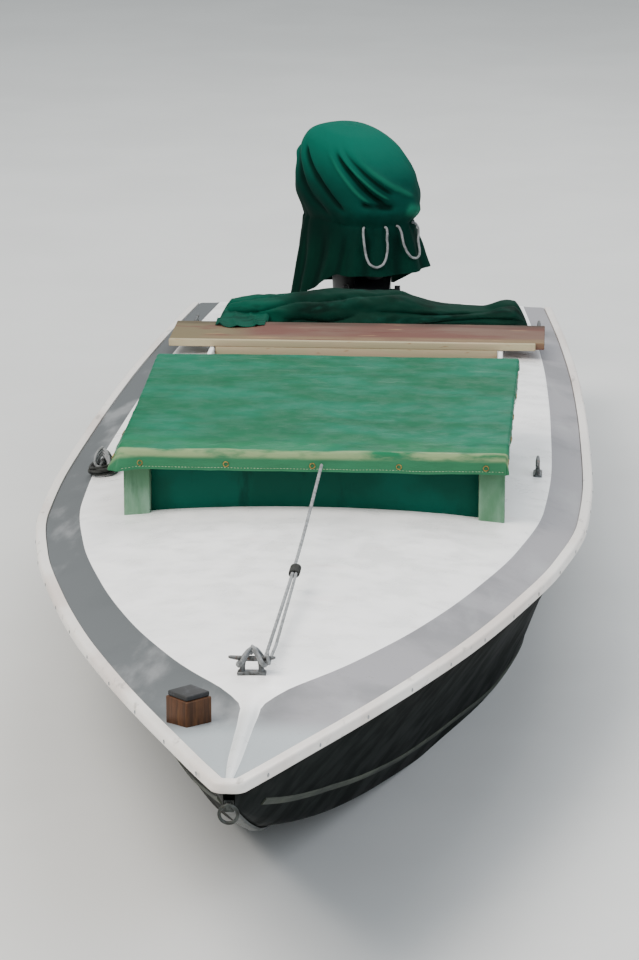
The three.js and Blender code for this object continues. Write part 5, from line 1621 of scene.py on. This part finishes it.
# Point at an angle on an oval about (0, cy), rounder or squarer by its power.
def ovalPoint(a, rx, ry, cy, power=ovalPower):
    c, s = math.cos(a), math.sin(a)
    return (math.copysign(abs(c) ** (2 / power), c) * rx, cy + math.copysign(abs(s) ** (2 / power), s) * ry)


# Loft of ovals up the head, from a table by height.
def headLoft(name, rows, steps, material, power=ovalPower, count=48):
    rx, ry, cy = smoothTables(rows, ("rx", "ry", "cy"), "z")
    rings = [[fromHead((*ovalPoint(a, rx(z), ry(z), cy(z), power), z)) for a in ringAngles(count)]
             for z in evenly(rows[0]["z"], rows[-1]["z"], steps)]
    return tube(name, rings, material)


# Turned shape on the propeller shaft's line; startY is where its own table starts from.
def shaftTurned(name, rows, steps, count, startY=0):
    radius = smoothTable(rows, "r")
    rings = [[fromHead((math.cos(a) * radius(y), startY + y, motor["shaftZ"] + math.sin(a) * radius(y)))
              for a in ringAngles(count)] for y in evenly(rows[0]["y"], rows[-1]["y"], steps)]
    return tube(name, rings, motorEnamel)


panPiece = headLoft("motorPan", [
    {"z": 545, "rx": 110, "ry": 175, "cy": 88}, {"z": 556, "rx": 124, "ry": 194, "cy": 88},
    {"z": 580, "rx": 142, "ry": 220, "cy": 88}, {"z": 615, "rx": 146, "ry": 226, "cy": 88},
], 14, cowlPlastic)
place(panPiece, "head", "cowl_plastic", "motor_pan")
legPiece = fuse("motorLeg", [
    headLoft("legCasting", [
        {"z": -107, "rx": 34, "ry": 84, "cy": 110}, {"z": 30, "rx": 36, "ry": 78, "cy": 118},
        {"z": 190, "rx": 52, "ry": 74, "cy": 128}, {"z": 390, "rx": 62, "ry": 78, "cy": 130},
        {"z": 544.7, "rx": 80, "ry": 76, "cy": 128},
    ], 40, motorEnamel),
    *[box("yoke", -half, half, y0, 100, z0, z1, 5, 3, [motorEnamel])
      for half, y0, z0, z1 in ((40, -40, 496.3, 544.7), (34, -36, 37, 85.7))],
])
# the yokes were made in the head's own frame, near the origin
for vertex in [v for v in legPiece.data.vertices if v.co.y < 2.0]:
    vertex.co = fromHead(vertex.co * 1000) * 0.001
place(legPiece, "head", "motor_metal", "motor_leg", angle=40)

torpedo = shaftTurned("torpedo", [
    {"y": -50, "r": 0.5}, {"y": -47, "r": 12}, {"y": -40, "r": 22}, {"y": 0, "r": 40}, {"y": 50, "r": 46},
    {"y": 150, "r": 46}, {"y": 212, "r": 38}, {"y": 232, "r": 32},
], 50, 40)
strut = headLoft("strut", [
    {"z": -440, "rx": 8, "ry": 66, "cy": 108}, {"z": -350, "rx": 11, "ry": 92, "cy": 100},
    {"z": -290, "rx": 20, "ry": 104, "cy": 96}, {"z": -116.3, "rx": 30, "ry": 106, "cy": 104},
], 30, motorEnamel, 2.0, 40)
place(fuse("motorGearcase", [torpedo, strut]), "head", "motor_metal", "motor_gearcase", angle=40)

propeller = {"y": 280.5, "blades": 3, "root": 26, "tip": 148, "rings": 18, "sides": 20}
propParts = [shaftTurned("hub", [{"y": -48, "r": 33}, {"y": -20, "r": 36}, {"y": 40, "r": 34},
                                 {"y": 58, "r": 22}, {"y": 64, "r": 1}], 28, 36, propeller["y"])]
bladeRows = [{"r": 26, "wide": 44, "thick": 9, "pitch": 62}, {"r": 70, "wide": 92, "thick": 7, "pitch": 46},
             {"r": 112, "wide": 96, "thick": 5, "pitch": 36}, {"r": 148, "wide": 34, "thick": 3, "pitch": 30}]
bladeWide, bladeThick, bladePitch = smoothTables(bladeRows, ("wide", "thick", "pitch"), "r")
for spinAngle in ringAngles(propeller["blades"]):
    spin = Matrix.Rotation(spinAngle, 3, "Y")
    rings = []
    for r in evenly(propeller["root"], propeller["tip"], propeller["rings"]):
        pitch, wide, thick = math.radians(bladePitch(r)), bladeWide(r), bladeThick(r)
        ring = []
        for a in ringAngles(propeller["sides"]):
            u, v = math.cos(a) * wide / 2, math.sin(a) * thick / 2
            p = spin @ Vector((u * math.cos(pitch) - v * math.sin(pitch),
                               u * math.sin(pitch) + v * math.cos(pitch), r))
            ring.append(fromHead(p + Vector((0, propeller["y"], motor["shaftZ"]))))
        rings.append(ring)
    propParts.append(tube("blade", rings, motorEnamel))
place(fuse("motorPropeller", propParts), "propeller", "motor_metal", "motor_propeller", angle=40)
print("motor made")

# Fabric bag over the motor: a dome drawn in by a cord at the neck, then a pleated skirt

bagRows = [
    {"z": 1026, "rx": 34, "ry": 44, "cy": 146, "lean": 4},
    {"z": 1008, "rx": 104, "ry": 116, "cy": 136, "lean": 16},
    {"z": 958, "rx": 160, "ry": 194, "cy": 116, "lean": 40},
    {"z": 876, "rx": 190, "ry": 246, "cy": 102, "lean": 46},
    {"z": 780, "rx": 198, "ry": 262, "cy": 98, "lean": 24},
    {"z": 690, "rx": 170, "ry": 232, "cy": 94, "lean": 0},
]
neck = bagRows[-1]
bagHem = {"rx": 240, "ry": 272, "cy": 80, "frontZ": 518, "aftZ": 400, "turnFrom": -0.42, "turnOver": 0.68,
          "power": 2.2}
bag = {
    "around": 150, "dome": 60, "skirt": 34, "thick": 1.8, "gather": 1.35, "pleats": 11, "pleatDeep": 7,
    "pleatUp": 200, "waves": 13, "waveDeep": 9, "bulk": 7, "crumple": 3, "crushTop": 1024,
    "crushOver": 120, "drawnIn": 5, "skirtIn": 6, "skirtTight": 2, "cloth": (1350, 640),
}
bagRx, bagRy, bagCy, bagLean = smoothTables(bagRows, ("rx", "ry", "cy", "lean"), "z")


# The skirt's hem is higher in front, where it clears the deck as the motor tilts and steers.
def skirtLow(a):
    share = clamp((math.sin(a) - bagHem["turnFrom"]) / bagHem["turnOver"])
    return mix(bagHem["frontZ"], bagHem["aftZ"], share)


girth = 200          # mm along the dome to one radian round it, for the folds


# How far a long fold, from one angle and height on the dome to another, pushes out a place near it.
def foldPull(a, z, fold):
    here = Vector((math.atan2(math.sin(a - fold["a0"]), math.cos(a - fold["a0"])) * girth, z - fold["z0"]))
    along = Vector(((fold["a1"] - fold["a0"]) * girth, fold["z1"] - fold["z0"]))
    t = clamp(here.dot(along) / along.length_squared)
    away = (here - along * t).length
    return fold["deep"] * math.exp(-(away / fold["wide"]) ** 2) * ease(min(t, 1 - t) * 5 + 0.25)


bagFolds = [
    {"a0": -2.86, "z0": 972, "a1": -1.78, "z1": 800, "deep": -19, "wide": 11},
    {"a0": -2.66, "z0": 992, "a1": -1.58, "z1": 846, "deep": -14, "wide": 9},
    {"a0": -3.02, "z0": 975, "a1": -1.95, "z1": 780, "deep": 9, "wide": 12},
    {"a0": -2.76, "z0": 984, "a1": -1.68, "z1": 824, "deep": 10, "wide": 8},
    {"a0": -2.42, "z0": 1000, "a1": -1.22, "z1": 822, "deep": 9, "wide": 15},
    {"a0": -3.62, "z0": 942, "a1": -2.60, "z1": 752, "deep": -16, "wide": 12},
    {"a0": -3.78, "z0": 895, "a1": -2.95, "z1": 720, "deep": -11, "wide": 14},
    {"a0": -2.32, "z0": 802, "a1": -1.62, "z1": 786, "deep": -14, "wide": 16},
    {"a0": -1.50, "z0": 775, "a1": -0.95, "z1": 735, "deep": 13, "wide": 34},
    {"a0": 0.60, "z0": 900, "a1": 1.60, "z1": 780, "deep": -9, "wide": 16},
    {"a0": 2.00, "z0": 940, "a1": 2.90, "z1": 800, "deep": -9, "wide": 18},
    {"a0": 1.10, "z0": 980, "a1": 2.30, "z1": 860, "deep": 8, "wide": 14},
]


# Pleats where the cord draws the cloth in.
def pleatAt(a):
    return bag["pleatDeep"] * (abs(math.sin(bag["pleats"] * a + 0.8 * math.sin(3 * a))) - 0.6)


# Place on the bag, pushed out by push, and how deep in a fold it lies.
def pushedOut(a, rx, ry, x, y, height, push, mark):
    out = Vector((math.cos(a) * ry, math.sin(a) * rx)).normalized()
    return fromHead((x + out.x * push, y + out.y * push, height)), mark


def domePoint(a, z):
    rx, ry, cy = bagRx(z), bagRy(z), bagCy(z)
    crush = ease((bag["crushTop"] - z) / bag["crushOver"])
    bulk = crush * (bag["bulk"] * drift(1.7 * math.cos(a), 1.7 * math.sin(a), z * 0.009)
                    + bag["crumple"] * drift(4 * math.cos(a), 4 * math.sin(a), z * 0.022))
    folds = sum(foldPull(a, z, fold) for fold in bagFolds) * crush
    pleat = pleatAt(a) * (1 - clamp((z - neck["z"]) / bag["pleatUp"])) ** 2.2
    push = pleat + bulk - bag["drawnIn"] + folds
    x, y = ovalPoint(a, rx, ry, cy)
    return pushedOut(a, rx, ry, x, y, z + bagLean(z) * (y - cy) / ry, push, clamp(-folds / 14, -1, 1))


def skirtPoint(a, t):
    rx, ry, cy = [mix(neck[key], bagHem[key], t) for key in ("rx", "ry", "cy")]
    wave = math.sin(bag["waves"] * a + 1.2 * math.sin(2 * a) + 0.8 * t)
    push = mix(pleatAt(a), bag["waveDeep"] * wave - bag["skirtIn"], ease(t * 1.6))
    push += bag["crumple"] * drift(3 * math.cos(a), 3 * math.sin(a), t * 3) - bag["skirtTight"]
    x, y = ovalPoint(a, rx, ry, cy, mix(ovalPower, bagHem["power"], t))
    mark = clamp((-wave - 0.2) * 0.8 * ease(t * 3), -0.2, 1)
    return pushedOut(a, rx, ry, x, y, mix(neck["z"], skirtLow(a), t), push, mark)


# The cowl fills the dome with some slack, down to where the bag is drawn in.
cowl = {"low": 692, "top": 985, "slack": 30, "slackFrom": 615, "slackOver": 60, "rings": 40}
cowlRings = []
for z in evenly(cowl["low"], cowl["top"], cowl["rings"]):
    slack = cowl["slack"] * ease((z - cowl["slackFrom"]) / cowl["slackOver"])
    spots = [ovalPoint(a, bagRx(z) - slack, bagRy(z) - slack, bagCy(z)) for a in ringAngles(48)]
    cowlRings.append([fromHead((x, y, z + bagLean(z) * (y - bagCy(z)) / bagRy(z))) for x, y in spots])
place(tube("motorCowl", cowlRings, cowlPlastic), "head", "cowl_plastic", "motor_cowl", angle=50)

bagAngles = ringAngles(bag["around"])
bagMarked = [[domePoint(a, mix(bagRows[0]["z"], neck["z"], t ** bag["gather"])) for a in bagAngles]
             for t in evenly(0, 1, bag["dome"])]
bagMarked += [[skirtPoint(a, t) for a in bagAngles] for t in evenly(0, 1, bag["skirt"])[1:]]
bagRings = [[p for p, _ in ring] for ring in bagMarked]
# Three rings close the top round a crown a little above it
crown = sum(bagRings[0], Vector()) / len(bagRings[0]) + Vector((0, 0, 1.5))
poleRings = [[p.lerp(crown, share) for p in bagRings[0]] for share in (0.97, 0.7, 0.4)]
bagRings = poleRings + bagRings
bagPiece = grid("motorBag", bagRings, wrap=True, materials=[bagCanvasPaintedLightAndShade], tidy=False, uvs=lambda r, i: (
    i * bag["cloth"][0] / bag["around"], -r * bag["cloth"][1] / len(bagRings)))
# How deep each spot lies in a fold, for the painted shade in the folds and the painted highlight on their
# ridges
foldLayer = bagPiece.data.attributes.new("fold", "FLOAT", "POINT")
marks = [0.0] * (len(poleRings) * bag["around"]) + [mark for ring in bagMarked for _, mark in ring]
foldLayer.data.foreach_set("value", marks)
# The pole is closed before the cloth gets its thickness
bm = bmesh.new()
bm.from_mesh(bagPiece.data)
bmesh.ops.holes_fill(bm, edges=[e for e in bm.edges if e.is_boundary and e.verts[0].co.z > 1.0], sides=0)
bmesh.ops.recalc_face_normals(bm, faces=bm.faces[:])
bm.to_mesh(bagPiece.data)
bm.free()
middle = sum((v.co for v in bagPiece.data.vertices), Vector()) / len(bagPiece.data.vertices)
face = bagPiece.data.polygons[len(bagPiece.data.polygons) // 2]
if (face.center - middle).dot(face.normal) < 0:
    bagPiece.data.flip_normals()
thicken(bagPiece, bag["thick"])
place(bagPiece, "head", "tarp_teal", "motor_bag", angle=70)
print("bag made")
